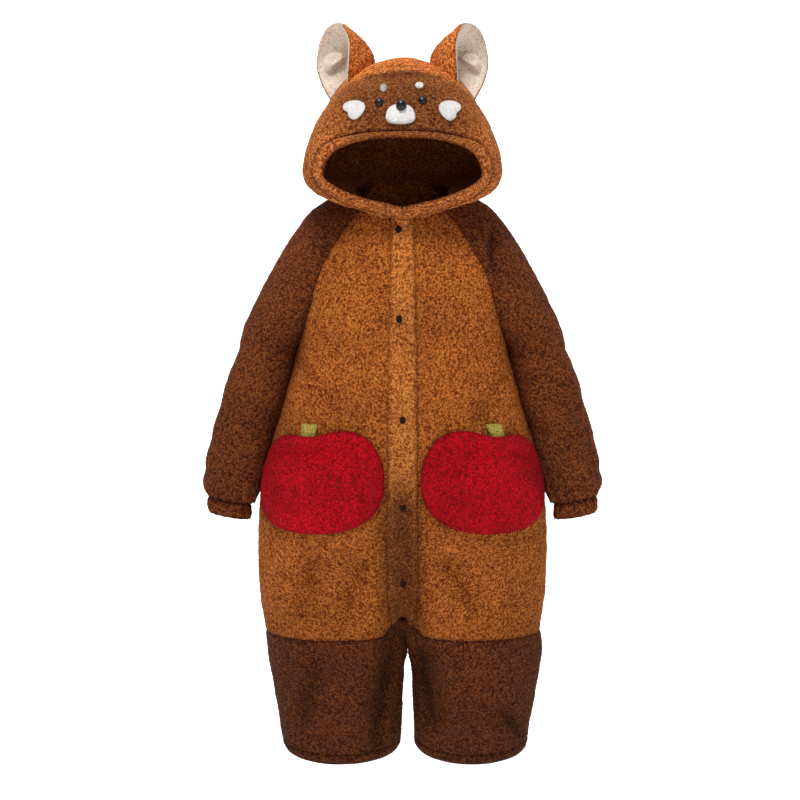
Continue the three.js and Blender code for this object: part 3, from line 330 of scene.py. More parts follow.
def cap_point(u, t):
    face = np.where(u < 0.5, -1.0, 1.0)
    first = (u < 0.5)[..., None]
    seam = np.where(first, raglan(t, "f"), raglan(t, "b"))
    out, fore, up, reach, over = (read(SLEEVE_CAP, "t", c, t) for c in ("out", "fore", "up", "seam", "top"))
    leave = point(out, face * fore, up)
    leave *= (reach / np.linalg.norm(leave, axis=-1))[..., None]
    pull = point(0, face * over, 0)
    top = point(read(RAGLAN, "t", "tx", t), 0, read(RAGLAN, "t", "tz", t))
    return bow(np.where(first, seam, top), np.where(first, leave, pull), np.where(first, pull, leave),
               np.where(first, top, seam), np.where(u < 0.5, u * 2, u * 2 - 1))


def sleeve_point(u, v):
    """v: 0 at the neck, 1 at the underarm, 2 at the cuff."""
    cap = cap_point(u, np.clip(1 - v, 0, 1))
    arm = arm_point(u, mix(UNDERARM_Z, CUFF_TOP_Z, np.clip(v - 1, 0, 1)))
    return np.where((v < 1)[..., None], cap, arm)


def spline(a, b, c, d, t):
    """A cubic through four values, for the stretch between the middle two."""
    return (2 * b + (c - a) * t + (2 * a - 5 * b + 4 * c - d) * t * t + (3 * b - a - 3 * c + d) * t ** 3) / 2


def net_point(net, a, v):
    """A point of the hood's net: a from the neck (0) to the top (1), v counted in rows."""
    columns, rows = net.shape[1] - 1, net.shape[0] - 1
    wide = np.concatenate([2 * net[:, :1] - net[:, 1:2], net, net[:, -2:-1] * [-1, 1, 1]], axis=1)
    wide = np.concatenate([2 * wide[:1] - wide[1:2], wide, 2 * wide[-1:] - wide[-2:-1]], axis=0)
    c = np.clip(np.floor(a * columns).astype(int), 0, columns - 1)
    r = np.clip(np.floor(v).astype(int), 0, rows - 1)
    s, t = (a * columns - c)[..., None], (v - r)[..., None]
    lines = [spline(*(wide[r + k, c + m] for m in range(4)), s) for k in range(4)]
    return spline(*lines, t)


def ear_point(u, v, share, moved, top_of):
    wide, fore = np.array(EAR["chord"]) / math.hypot(*EAR["chord"])
    half = read(EAR_SECTIONS, "t", "breadth", v) * math.hypot(*EAR["chord"]) / 2
    across = -np.cos(math.pi * u) * (half - moved)
    cup = np.sin(math.pi * u) * (read(EAR_SECTIONS, "t", "cup", v) * share - moved)
    x = read(EAR_SECTIONS, "t", "x", v) + wide * across - fore * cup
    y = read(EAR_SECTIONS, "t", "y", v) + fore * across + wide * cup
    return point(x, y, mix(top_of(x, y), EAR["tip_z"], v))


def leaned(points):
    """The legs as they hang in the picture: their gap lies a little to the wearer's left."""
    x, below = points[..., 0], smooth((LEAN["z"] - points[..., 2]) / LEAN["fall"])
    share = np.clip((x + LEAN["start"]) / LEAN["start"], 0, 1)
    return points + point(LEAN["move"] * below * share, 0, 0)


# Grids, pile and shells

def steps_for(length):
    return max(2, round(length / PILE_STEP / INSIDE_EVERY)) * INSIDE_EVERY


def grid(columns, rows):
    return np.meshgrid(np.linspace(0, 1, columns + 1), np.linspace(0, 1, rows + 1))


def normals_of(points, closed=False):
    """Directions square to a grid of points, from its neighbours."""
    if closed:
        across = np.concatenate([points[:, -2:-1], points, points[:, 1:2]], axis=1)
        across = across[:, 2:] - across[:, :-2]
    else:
        across = np.gradient(points, axis=1)
    down = np.gradient(points, axis=0)
    normal = np.cross(across, down)
    return normal / (np.linalg.norm(normal, axis=-1, keepdims=True) + 1e-12)


def facing(points, normals, middle):
    return normals * np.sign(np.sum(normals * (points - middle)))


def hashed(cells, salt):
    """An even spread of values from 0 to 1, the same for the same cell."""
    mixed = (cells[..., 0] * 73856093) ^ (cells[..., 1] * 19349663) ^ (cells[..., 2] * 83492791)
    mixed = (mixed + salt * 2654435761) & 0xFFFFFFFF
    mixed = ((mixed ^ (mixed >> 15)) * 2246822519) & 0xFFFFFFFF
    mixed = ((mixed ^ (mixed >> 13)) * 3266489917) & 0xFFFFFFFF
    return ((mixed ^ (mixed >> 16)) & 0xFFFF) / 65535


def curls(points, size):
    """Rounded tufts of pile: 1 on the crown of each, 0 far from all."""
    place = points / size
    base = np.floor(place).astype(np.int64)
    best = np.full(points.shape[:-1], 9.0)
    for step in np.ndindex(3, 3, 3):
        cell = base + np.array(step) - 1
        tuft = cell + np.stack([hashed(cell, k) for k in (1, 2, 3)], axis=-1)
        best = np.minimum(best, ((place - tuft) ** 2).sum(-1))
    return np.clip(1 - np.sqrt(best), 0, 1)


def swell(points, size, salt=7):
    """Soft uneven rise and fall, -1 to 1."""
    place = points / size + salt * 11.7
    base = np.floor(place).astype(np.int64)
    part = smooth(place - base)
    total = 0
    for corner in np.ndindex(2, 2, 2):
        weight = np.prod(np.where(np.array(corner) == 1, part, 1 - part), axis=-1)
        total = total + weight * hashed(base + corner, salt)
    return 2 * total - 1


def edge_distance(points, sides):
    """How far each grid point lies from the seams named in sides."""
    rows, columns = points.shape[:2]
    along = np.linalg.norm(np.diff(points, axis=1), axis=-1)
    down = np.linalg.norm(np.diff(points, axis=0), axis=-1)
    from_left = np.concatenate([np.zeros((rows, 1)), np.cumsum(along, 1)], 1)
    from_top = np.concatenate([np.zeros((1, columns)), np.cumsum(down, 0)], 0)
    reach = {"left": from_left, "right": from_left[:, -1:] - from_left,
             "top": from_top, "bottom": from_top[-1:] - from_top}
    return np.min([reach[side] for side in sides.split()], axis=0)


PILES = {
    "fleece": dict(size=3.5, high=1.6, swell=1.0),
    "short": dict(size=3.4, high=1.0, swell=0.6),
    "plush": dict(size=3.6, high=0.8, swell=0.3),
    "felt": dict(size=3.0, high=0.25, swell=0.1)}


def piled(points, normals, pile, low_at=None, low=1.6, closed=False, tight_at=None):
    """The points moved out by the pile, lying lower beside seams (tight ones just end), and its height, which
    the colour reads: lower pile beside seams is painted shade.
    """
    style = PILES[pile]
    tufts = curls(points, style["size"])
    if closed:
        tufts[:, -1] = tufts[:, 0]
    rise = style["high"] * (tufts - 0.45) + style["swell"] * swell(points, 14)
    if low_at is not None:
        near = np.exp(-(low_at / 3.2) ** 2)
        rise = rise * (1 - 0.5 * near) - low * near
        # painted shade beside the seams: the lower pile height darkens the colour
        tufts = tufts * (1 - 0.55 * near)
    if tight_at is not None:
        near = np.exp(-(tight_at / 3.2) ** 2)
        rise = rise * (1 - near)
        # painted shade beside tight seams too
        tufts = tufts * (1 - 0.4 * near)
    return points + normals * rise[..., None], tufts


def lapped(points, reach=0.7):
    """The same grid with its edges moved a little on, so that pieces close at their seams."""
    wide = points.copy()
    for edge, beside in ((np.s_[:, 0], np.s_[:, 1]), (np.s_[:, -1], np.s_[:, -2]),
                         (np.s_[0], np.s_[1]), (np.s_[-1], np.s_[-2])):
        away = points[edge] - points[beside]
        wide[edge] = wide[edge] + away * reach / (np.linalg.norm(away, axis=-1, keepdims=True) + 1e-9)
    return wide


def creased(points, normals, share=1.0):
    """The points with the one-sided creases pressed in, and how deep each lies; none cross the inseam."""
    total = np.zeros(points.shape[:-1])
    for face, start, end, wide, deep in CREASES:
        place, off = beside_line(points[..., 0], points[..., 2], start, end, wide)
        fade = smooth((place + 0.2) / 0.4) * smooth((1.2 - place) / 0.4)
        total += deep * np.exp(-off * off) * fade * smooth((normals[..., 1] * face - 0.05) / 0.3)
    inseam = smooth((np.abs(points[..., 0] - INSEAM["x"]) - INSEAM["half"]) / INSEAM["fade"])
    total *= np.where(points[..., 2] < INSEAM["top"], inseam, 1) * share
    return points + normals * total[..., None], total


def quads(index, turn=False):
    """The faces between neighbouring rows and columns of an index of points."""
    a, b, c, d = index[:-1, :-1], index[:-1, 1:], index[1:, 1:], index[1:, :-1]
    order = (a, d, c, b) if turn else (a, b, c, d)
    return np.stack([part.ravel() for part in order], axis=1).tolist()


def shell_mesh(name, outer, inner, tufts, closed, material):
    """A thin closed shell: the fine outside, a plain inside, and strips between their edges."""
    k = INSIDE_EVERY
    if closed:
        outer, inner, tufts = outer[:, :-1], inner[:, :-1], tufts[:, :-1]
    inside = inner[::k, ::k]
    rows, columns = outer.shape[:2]
    low_rows, low_columns = inside.shape[:2]
    fine = np.arange(rows * columns).reshape(rows, columns)
    plain = rows * columns + np.arange(low_rows * low_columns).reshape(low_rows, low_columns)
    if closed:
        fine = np.concatenate([fine, fine[:, :1]], axis=1)
        plain = np.concatenate([plain, plain[:, :1]], axis=1)
    faces = quads(fine) + quads(plain, True)

    def strip(edge, low, turn):
        for j in range(len(low) - 1):
            p, q = low[j], low[j + 1]
            e = edge[j * k:(j + 1) * k + 1]
            made = [(e[0], e[1], p), (e[1], q, p)] + [(e[m], e[m + 1], q) for m in range(1, k)]
            faces.extend([(a, c, b) if turn else (a, b, c) for a, b, c in made])

    strip(fine[0].tolist(), plain[0].tolist(), True)
    strip(fine[-1].tolist(), plain[-1].tolist(), False)
    if not closed:
        strip(fine[:, 0].tolist(), plain[:, 0].tolist(), False)
        strip(fine[:, -1].tolist(), plain[:, -1].tolist(), True)
    places = np.concatenate([outer.reshape(-1, 3), inside.reshape(-1, 3)]) * MM
    height = np.concatenate([tufts.ravel(), np.full(inside.shape[0] * inside.shape[1], 0.35)])
    return made_mesh(name, places, faces, height, material)


def painted_shade_and_tone_at(places, material):
    """Painted light and shade by place, multiplied into the fleece's colour: darker down the suit, lighter or
    darker by the table's other shares.
    """
    x, y, z = np.moveaxis(places / MM, 1, 0)
    # painted fall-off of the light from above: darker down the suit
    shade = np.interp(z, PAINTED_SHADE_AND_TONE["z"], PAINTED_SHADE_AND_TONE["level"])
    cuff = (np.abs(x) > CUFFS_FROM["x"]) & (z < CUFFS_FROM["z"])
    shade = shade * np.where(cuff, PAINTED_SHADE_AND_TONE["cuff"], 1)
    if material == FINISHES["hood"]:
        face = np.exp(-(x / FACE_PANEL["half"]) ** 4 - ((z - FACE_PANEL["z"]) / FACE_PANEL["high"]) ** 4)
        face = face * smooth((-20 - y) / 40)
        ear = smooth((np.abs(x) - 52) / 12) * smooth((z - 176) / 20)
        seam = CROWN_SEAM["z"] - (x / CROWN_SEAM["half"]) ** 2 * CROWN_SEAM["drop"]
        crown = smooth((z - seam + 2) / 6) * smooth((y + 80) / 40)
        shade = shade * (1 - PAINTED_SHADE_AND_TONE["face"] * face) * (1 + PAINTED_SHADE_AND_TONE["crown"] * np.maximum(ear, crown))
        # painted shade in the groove of the seam between face and crown
        line = np.exp(-((z - seam) / CROWN_SEAM["wide"]) ** 2 - (x / CROWN_SEAM["end"]) ** 4) * (y < -10)
        shade = shade * (1 - PAINTED_SHADE_AND_TONE["seam"] * line)
    # painted shade in the hollow below the placket's middle
    valley = smooth((-380 - z) / 60) * smooth((z + 640) / 20) * np.exp(-(x / 30) ** 4) * (y < 0)
    return shade * (1 - PAINTED_SHADE_AND_TONE["valley"] * valley)


def made_mesh(name, places, faces, height, material):
    mesh = bpy.data.meshes.new(name)
    mesh.from_pydata(places.tolist(), [], faces)
    # the fleece of these finishes takes the painted light and shade of the attribute 'shade'
    takes_painted_shade = material in [FINISHES[finish] for finish in ("body", "band", "hood", "brown")]
    shade = painted_shade_and_tone_at(places, material) if takes_painted_shade else np.ones(len(places))
    mesh.attributes.new("shade", "FLOAT", "POINT").data.foreach_set("value", shade)
    if signed_volume(mesh) < 0:
        mesh.flip_normals()
    mesh.attributes.new("pile", "FLOAT", "POINT").data.foreach_set("value", np.asarray(height, float))
    mesh.shade_smooth()
    mesh.materials.append(material)
    piece = bpy.data.objects.new(name, mesh)
    bpy.context.scene.collection.objects.link(piece)
    return piece


def signed_volume(mesh):
    mesh.calc_loop_triangles()
    corners = np.empty(len(mesh.loop_triangles) * 3, int)
    mesh.loop_triangles.foreach_get("vertices", corners)
    places = np.empty(len(mesh.vertices) * 3)
    mesh.vertices.foreach_get("co", places)
    a, b, c = np.moveaxis(places.reshape(-1, 3)[corners].reshape(-1, 3, 3), 1, 0)
    return float(np.sum(a * np.cross(b, c)) / 6)


def disc_mesh(name, top, under, tufts, material):
    """A closed patch from rings of points round a middle: a fine top and a plain underside."""
    rings, around = top.shape[:2]
    middles = [top[:1].mean(1), under[:1].mean(1)]
    places = np.concatenate([top.reshape(-1, 3), under.reshape(-1, 3), *middles]) * MM
    fine = np.arange(rings * around).reshape(rings, around)
    plain = fine.size + np.arange(under.shape[0] * around).reshape(-1, around)
    over, below = fine.size + plain.size, fine.size + plain.size + 1
    fine, plain = (np.concatenate([layer, layer[:, :1]], axis=1) for layer in (fine, plain))
    faces = quads(fine, True) + quads(plain)
    for k in range(around):
        faces.append((over, fine[0, k], fine[0, k + 1]))
        faces.append((below, plain[0, k + 1], plain[0, k]))
        faces.append((fine[-1, k], plain[-1, k], plain[-1, k + 1], fine[-1, k + 1]))
    faces = [[int(corner) for corner in face] for face in faces]
    height = np.concatenate([tufts.ravel(), np.full(under.shape[0] * around, 0.3), [tufts[0].mean()], [0.3]])
    return made_mesh(name, places, faces, height, material)


# Materials

def srgb(red, green, blue):
    parts = [value / 255 for value in (red, green, blue)]
    return [v / 12.92 if v <= 0.04045 else ((v + 0.055) / 1.055) ** 2.4 for v in parts] + [1]


def plain_material(name, colour, roughness, sheen=0.0):
    material = bpy.data.materials.new(name)
    material.use_nodes = True
    shader = material.node_tree.nodes["Principled BSDF"]
    shader.inputs["Base Color"].default_value = colour
    shader.inputs["Roughness"].default_value = roughness
    shader.inputs["Sheen Weight"].default_value = sheen
    return material, material.node_tree.nodes, material.node_tree.links, shader


def relief(nodes, links, shader, height, strength, depth):
    bump = nodes.new("ShaderNodeBump")
    bump.inputs["Strength"].default_value = strength
    bump.inputs["Distance"].default_value = depth
    links.new(height, bump.inputs["Height"])
    links.new(bump.outputs["Normal"], shader.inputs["Normal"])


def fleece(name, dark, middle, light, sheen=0.06, curl=330, fibre=480, depth=0.0016, patch=0.16):
    """Curly pile: painted shade between the tufts from the pile's height, lighter on them, in soft uneven
    patches, times the painted light and shade by place.
    """
    material, nodes, links, shader = plain_material(name, middle, 0.95, sheen)
    shader.inputs["Sheen Roughness"].default_value = 0.5
    shader.inputs["Sheen Tint"].default_value = light
    shader.inputs["Specular IOR Level"].default_value = 0.15
    place = nodes.new("ShaderNodeTexCoord")

    def noise(scale, detail, twist=0.0):
        node = nodes.new("ShaderNodeTexNoise")
        node.inputs["Scale"].default_value = scale
        node.inputs["Detail"].default_value = detail
        node.inputs["Distortion"].default_value = twist
        links.new(place.outputs["Object"], node.inputs["Vector"])
        return node.outputs["Fac"]

    def sum_of(first, a, second, b):
        one, two = nodes.new("ShaderNodeMath"), nodes.new("ShaderNodeMath")
        one.operation, two.operation = "MULTIPLY", "MULTIPLY_ADD"
        links.new(first, one.inputs[0])
        one.inputs[1].default_value = a
        links.new(second, two.inputs[0])
        two.inputs[1].default_value = b
        links.new(one.outputs[0], two.inputs[2])
        return two.outputs[0]

    cells = nodes.new("ShaderNodeTexVoronoi")
    cells.inputs["Scale"].default_value = curl
    links.new(place.outputs["Object"], cells.inputs["Vector"])
    # the pile's height read as colour: painted shade between the tufts, beside seams and in creases
    pile = nodes.new("ShaderNodeAttribute")
    pile.attribute_name = "pile"
    hairs = sum_of(cells.outputs["Distance"], -0.6, noise(fibre, 3, 1.6), 2.4)
    tone = sum_of(pile.outputs["Fac"], 0.35, hairs, 0.45)
    ramp = nodes.new("ShaderNodeValToRGB")
    ramp.color_ramp.elements[0].position = 0.3
    ramp.color_ramp.elements[0].color = dark
    ramp.color_ramp.elements[1].position = 0.7
    ramp.color_ramp.elements[1].color = light
    ramp.color_ramp.elements.new(0.53).color = middle
    links.new(tone, ramp.inputs["Fac"])

    def times(colour, factor):
        blend = nodes.new("ShaderNodeMixRGB")
        blend.blend_type = "MULTIPLY"
        blend.inputs["Fac"].default_value = 1
        links.new(colour, blend.inputs["Color1"])
        links.new(factor, blend.inputs["Color2"])
        return blend.outputs["Color"]

    shade = nodes.new("ShaderNodeMapRange")
    shade.inputs["From Min"].default_value = 0.3
    shade.inputs["From Max"].default_value = 0.7
    shade.inputs["To Min"].default_value = 1 - patch
    shade.inputs["To Max"].default_value = 1 + patch
    links.new(noise(14, 2), shade.inputs["Value"])
    # the attribute 'shade': painted light and shade by place
    painted_shade_node = nodes.new("ShaderNodeAttribute")
    painted_shade_node.attribute_name = "shade"
    patched = times(ramp.outputs["Color"], shade.outputs["Result"])
    links.new(times(patched, painted_shade_node.outputs["Fac"]), shader.inputs["Base Color"])
    relief(nodes, links, shader, hairs, 1, depth)
    return material


def smooth_finish(name, colour, roughness, shine, speckle=40):
    material, nodes, links, shader = plain_material(name, colour, roughness)
    shader.inputs["Specular IOR Level"].default_value = shine
    texture = nodes.new("ShaderNodeTexNoise")
    texture.inputs["Scale"].default_value = speckle
    place = nodes.new("ShaderNodeTexCoord")
    links.new(place.outputs["Object"], texture.inputs["Vector"])
    relief(nodes, links, shader, texture.outputs["Fac"], 0.1, 0.0003)
    return material


FINISHES = {
    "body": fleece("body_fleece", srgb(72, 25, 3), srgb(140, 65, 15), srgb(222, 130, 54)),
    "band": fleece("placket_fleece", srgb(86, 34, 8), srgb(164, 84, 29), srgb(238, 152, 74)),
    "hood": fleece("hood_fleece", srgb(68, 24, 7), srgb(142, 68, 25), srgb(230, 142, 72)),
    "brown": fleece("brown_fleece", srgb(28, 8, 1), srgb(80, 33, 8), srgb(150, 79, 35)),
    "cream": fleece("cream_fleece", srgb(214, 186, 162), srgb(244, 222, 203), srgb(255, 242, 226)),
    "red": fleece("red_fleece", srgb(98, 0, 2), srgb(152, 0, 9), srgb(224, 2, 32), sheen=0.004, fibre=620,
                  patch=0.2),
    "white": fleece("white_plush", srgb(226, 218, 214), srgb(246, 242, 240), srgb(255, 253, 252)),
    "grey": fleece("grey_plush", srgb(150, 142, 136), srgb(182, 174, 168), srgb(204, 196, 190)),
    "olive": fleece("olive_felt", srgb(112, 96, 38), srgb(152, 134, 56), srgb(188, 170, 92), depth=0.0004),
    "black": smooth_finish("black_plastic", srgb(14, 9, 8), 0.3, 0.4),
    "snap": smooth_finish("snap_metal", srgb(22, 8, 3), 0.6, 0.1),
}


# Pieces

MIRROR = np.array([-1.0, 1.0, 1.0])


def settle(piece, node):
    """What a piece stands for: the solid of its node is hidden, and the piece hangs from the root."""
    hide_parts(node)
    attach(piece, "root")


def cloth(name, points, middle, finish, seams, wall=WALL, pile="fleece", closed=False, normals=None,
          sides=(1, -1), hidden=None, low=1.6, tight="", until=None):
    """A cloth piece from its smooth grid, for the wearer's left (1) and right (-1).

    Seams are the sides with a groove, tight ones just end, as far as until is true.
    """
    if normals is None:
        normals = facing(points, normals_of(points, closed), middle)
    if closed:
        normals[:, -1] = normals[:, 0]
    for side in sides:
        turn = MIRROR if side < 0 else 1.0
        label = "" if len(sides) == 1 else ("_left" if side > 0 else "_right")
        base = leaned(points * turn)
        near_raglan = 1.0
        if tight:
            near_raglan = np.where(until, smooth(edge_distance(base, tight) / CREASE_FADE), 1)
        base, sunk = creased(base, normals * turn, near_raglan)
        inner = base - normals * turn * np.asarray(wall)[..., None] if hidden is None else hidden * turn
        low_at = edge_distance(base, seams)
        tight_at = None
        if tight:
            tight_at = edge_distance(base, tight)
            low_at = np.where(until & (tight_at <= low_at), FAR, low_at)
            tight_at = np.where(until, tight_at, FAR)
        outer, tufts = piled(base, normals * turn, pile, low_at, low, closed, tight_at)
        # painted shade in the creases: the pile's height, read as colour, drops with their depth
        tufts = tufts * np.clip(1 + sunk / 12, 0.3, 1)
        if not closed:
            outer = lapped(outer)
        piece = shell_mesh(f"soft_{name}{label}", outer, inner, tufts, closed, FINISHES[finish])
        settle(piece, f"{name}{label}")


def downwards(rows, first, second):
    """Row places from 0 to 2: the first stretch to 1 and the second beyond, evenly in millimetres."""
    reach = np.linspace(0, first + second, rows + 1)
    return np.where(reach < first, reach / first, 1 + (reach - first) / second)


# Body
trunk_middle, leg_middle = np.array([0, 0, -300]), np.array([100, 0, -720])
sleeve_middle, hood_middle = np.array([180, 0, -200]), np.array([0, 0, 90])
ear_middle = np.array([100, -30, 220])
columns = steps_for(250)
rows = steps_for(640)
u, _ = grid(columns, rows)
v = np.repeat(downwards(rows, 195, 425)[:, None], columns + 1, axis=1)
front, back = body_point(u, v, -1), body_point(u, v, 1)
cloth("front", front, trunk_middle, "body", "left top bottom", tight="left", until=v < RAGLAN_END)
cloth("back", back, trunk_middle, "body", "left right top bottom", tight="left", until=v < RAGLAN_END)

rows = steps_for(160)
u, fall = grid(columns, rows)
for face, name in ((-1, "leg_front"), (1, "leg_back")):
    leg = trunk_point(u, mix(knee_z(u), hem_top(u, face), fall), face)
    cloth(name, leg, leg_middle, "brown", "left top")

columns = steps_for(460)
rows = steps_for(HEM_DEPTH)
u, fall = grid(columns, rows)
along = np.where(u < 0.5, u * 2, 2 - u * 2)
hem = np.where((u < 0.5)[..., None],
               trunk_point(along, hem_top(along, -1) - HEM_DEPTH * fall, -1),
               trunk_point(along, hem_top(along, 1) - HEM_DEPTH * fall, 1))
hem[:, -1] = hem[:, 0]
cloth("hem", hem, leg_middle, "brown", "top bottom", wall=BAND_WALL, closed=True, low=2.6)

columns = steps_for(300)
rows = steps_for(430)
u, _ = grid(columns, rows)
v = np.repeat(downwards(rows, 195, 228)[:, None], columns + 1, axis=1)
sleeve = sleeve_point(u, v)
sleeve_normals = facing(sleeve, normals_of(sleeve), sleeve_middle)
wrist = np.exp(-np.clip(sleeve[..., 2] - CUFF_TOP_Z, 0, None) / CUFF["fade"]) * smooth((v - 1) * 5)
wave = CUFF["wave_above"] * np.cos(CUFF["gathers"] * 2 * math.pi * u) - 1
sleeve = sleeve + sleeve_normals * (wrist * wave)[..., None]
cloth("sleeve", sleeve, sleeve_middle, "brown", "left right top bottom", low=1.8, tight="left right",
      until=v < RAGLAN_END)

columns = steps_for(200)
rows = steps_for(CUFF_LENGTH)
u, fall = grid(columns, rows)
turn = math.pi - 2 * math.pi * u
gather = CUFF["wave"] * np.cos(CUFF["gathers"] * 2 * math.pi * u) + np.sin(math.pi * fall)
x = CUFF["x"] + (CUFF["half"] + gather) * np.cos(turn)
z = CUFF_TOP_Z - 0.4 - CUFF_LENGTH * fall - CUFF["drop"] * (CUFF["x"] - x) / (2 * CUFF["half"])
cuff = point(x, CUFF["y"] - (CUFF["depth"] + gather) * np.sin(turn), z)
cloth("cuff", cuff, cuff.mean((0, 1)), "brown", "top bottom", closed=True, low=1.4)

# Placket: over the edges of both fronts, made from their points and moved out
front_normals = facing(front, normals_of(front), trunk_middle)
columns = steps_for(42)
rows = front.shape[0] - 1
share = np.linspace(-1, 1, columns + 1)
half = placket_half(front[:, -1, 2])
placket, band_normals = np.empty((rows + 1, columns + 1, 3)), np.empty((rows + 1, columns + 1, 3))
for j in range(rows + 1):
    away = np.abs(share) * half[j]
    line, square = front[j, ::-1], front_normals[j, ::-1]
    for axis in range(3):
        placket[j, :, axis] = np.interp(away, line[:, 0], line[:, axis])
        band_normals[j, :, axis] = np.interp(away, line[:, 0], square[:, axis])
    placket[j, :, 0] = share * half[j]
    band_normals[j, :, 0] *= np.sign(share)
band_normals /= np.linalg.norm(band_normals, axis=-1, keepdims=True)
placket = placket + band_normals * (0.8 + BAND_WALL)
cloth("placket", placket, trunk_middle, "band", "left right bottom", wall=BAND_WALL, normals=band_normals,
      sides=(1,), low=2.6)

# Hood
neck_edge = np.concatenate([front[0, ::-1], sleeve[0], back[0]])


def over_neck(places):
    """The places just above the neck seam that are nearest to points."""
    start, way = neck_edge[:-1], np.diff(neck_edge, axis=0)
    reach = np.sum(way * way, axis=-1) + 1e-9
    found = []
    for place in places:
        t = np.clip(np.sum((place - start) * way, axis=-1) / reach, 0, 1)
        near = start + way * t[:, None]
        found.append(near[np.argmin(np.linalg.norm(near - place, axis=-1))])
    return np.array(found) + [0, 0, NECK_GAP]


def hood_points(a, v):
    """The left half of the hood, its lowest row brought to the neck seam."""
    made = net_point(HOOD, a, v)
    base = net_point(HOOD, np.zeros_like(v[:, 0]), v[:, 0])
    shift = (over_neck(base) - base) * smooth((v[:, 0] - 0.4) / 0.5)[:, None]
    return made + shift[:, None] * np.clip(1 - a * 12, 0, 1)[..., None]


half_columns = steps_for(330)
rows = steps_for(170)
a, fall = grid(half_columns, rows)
left = hood_points(a, fall * EAR_LINE)
hood_front = np.concatenate([left * MIRROR, left[:, -2::-1]], axis=1)
rear_rows = steps_for(170)
a, fall = grid(half_columns, rear_rows)
hood_back = hood_points(a, EAR_LINE + (LAST_ROW - EAR_LINE) * np.minimum(fall, 0.9999))
cloth("hood_front", hood_front, hood_middle, "hood", "top bottom left right", sides=(1,), low=1.2)
cloth("hood_back", hood_back, hood_middle, "hood", "top bottom left", low=1.2)
rows = steps_for(30)
a, fall = grid(half_columns, rows)
rim_outer = net_point(HOOD, a, 0 * fall)
rim_inner = net_point(np.stack([OPENING, OPENING]), a, 0 * fall)
left = mix(rim_outer, rim_inner, fall[..., None])
left[..., 1] -= RIM_BULGE * np.sin(math.pi * fall)
rim = np.concatenate([left * MIRROR, left[:, -2::-1]], axis=1)
cloth("hood_rim", rim, hood_middle, "hood", "top bottom", wall=BAND_WALL, sides=(1,), low=2.4)


def tree_of(*grids):
    places, faces = [], []
    for points in grids:
        first = len(places)
        places.extend(points.reshape(-1, 3).tolist())
        index = first + np.arange(points.shape[0] * points.shape[1]).reshape(points.shape[:2])
        faces.extend(quads(index))
    return BVHTree.FromPolygons(places, faces)


hood_tree = tree_of(hood_front[::INSIDE_EVERY, ::INSIDE_EVERY], hood_back[::INSIDE_EVERY, ::INSIDE_EVERY])


def hood_top(x, y):
    """Heights of the hood's outside under points, and a low one beside it."""
    found = [hood_tree.ray_cast(Vector((p, q, 400)), Vector((0, 0, -1)))[0]
             for p, q in zip(x.ravel(), y.ravel())]
    return np.array([place.z if place else 150.0 for place in found]).reshape(x.shape)


def seen_from_front(tree, x, z):
    """Places and directions of a surface as seen from in front."""
    places, directions = [], []
    for p, q in zip(x.ravel(), z.ravel()):
        place, direction, _, _ = tree.ray_cast(Vector((p, -300, q)), Vector((0, 1, 0)))
        places.append(list(place))
        directions.append(list(direction if direction.y < 0 else -direction))
    return np.array(places).reshape(*x.shape, 3), np.array(directions).reshape(*x.shape, 3)


# Ears: a cupped orange back and the cream front inside it, with a padded ball
columns = steps_for(170)
rows = steps_for(130)
u, v = grid(columns, rows)
v = 1 - (1 - v) ** 1.3
ear = ear_point(u, v, 1, 0, hood_top)
cloth("ear_back", ear, ear_middle, "hood", "bottom left right", wall=EAR["wall"], low=1.0)
lining = ear_point(u, v, EAR["front_cup"], EAR["moved"], hood_top)
lining_normals = facing(lining, normals_of(lining), ear_middle)
off_ball = ((u - BALL["u"]) / BALL["half_u"]) ** 2 + ((v - BALL["v"]) / BALL["half_v"]) ** 2
front_wall = EAR["front_wall"] + EAR["bulge"] * smooth(BALL["steep"] * (1 - off_ball))
cloth("ear_front", lining - lining_normals * front_wall[..., None], None, "cream", "bottom left right",
      normals=-lining_normals, hidden=lining, pile="plush", low=1.0)


# Patches laid on a surface: pockets, stems and the face
def power(value, n):
    return np.sign(value) * np.abs(value) ** (2 / n)


def patch(name, surface, outline, size, lift, thick, finish, pile="short", mirrored=False, sag=None):
    """A patch from rings round its middle: outline gives its reach by the turn. Small ones are finer."""
    step = PILE_STEP * (1 if max(size) > 30 else 0.5)
    around = max(24, round(2 * math.pi * max(size) * 0.85 / step))
    rings = max(6, round(min(size) / step))
    shares = np.linspace(1 / rings, 1, rings)[:, None]
    turn = np.linspace(0, 2 * math.pi, around, endpoint=False)[None, :]
    a, b = outline(turn)
    places, normals = surface(a * shares, b * shares)
    if mirrored:
        places, normals = places * MIRROR, normals * MIRROR
    height = lift(shares, turn)
    if sag:
        height = height + sag(a * shares, b * shares)
    top = places + normals * (height + thick(shares, turn))[..., None]
    rolled = (1 - shares) * min(size)
    top, tufts = piled(top, normals, pile, np.broadcast_to(rolled, top.shape[:2]), 0.8)
    under = places + normals * height[..., None]
    keep = sorted({*range(0, rings, max(1, rings // 6)), rings - 1})
    piece = disc_mesh(f"soft_{name}", top, under[keep], tufts, FINISHES[finish])
    settle(piece, name)


def on_front(reach, z):
    """Places and directions on the front: how far round it from the middle, and the height."""
    edge = front_edge(z)
    u = 1 - (reach - edge) / (POCKET["arc"] - edge)
    place = trunk_point(u, z, -1)
    across = trunk_point(u + 0.01, z, -1) - trunk_point(u - 0.01, z, -1)
    down = trunk_point(u, z - 1, -1) - trunk_point(u, z + 1, -1)
    normal = np.cross(across, down)
    return place, normal / np.linalg.norm(normal, axis=-1, keepdims=True)


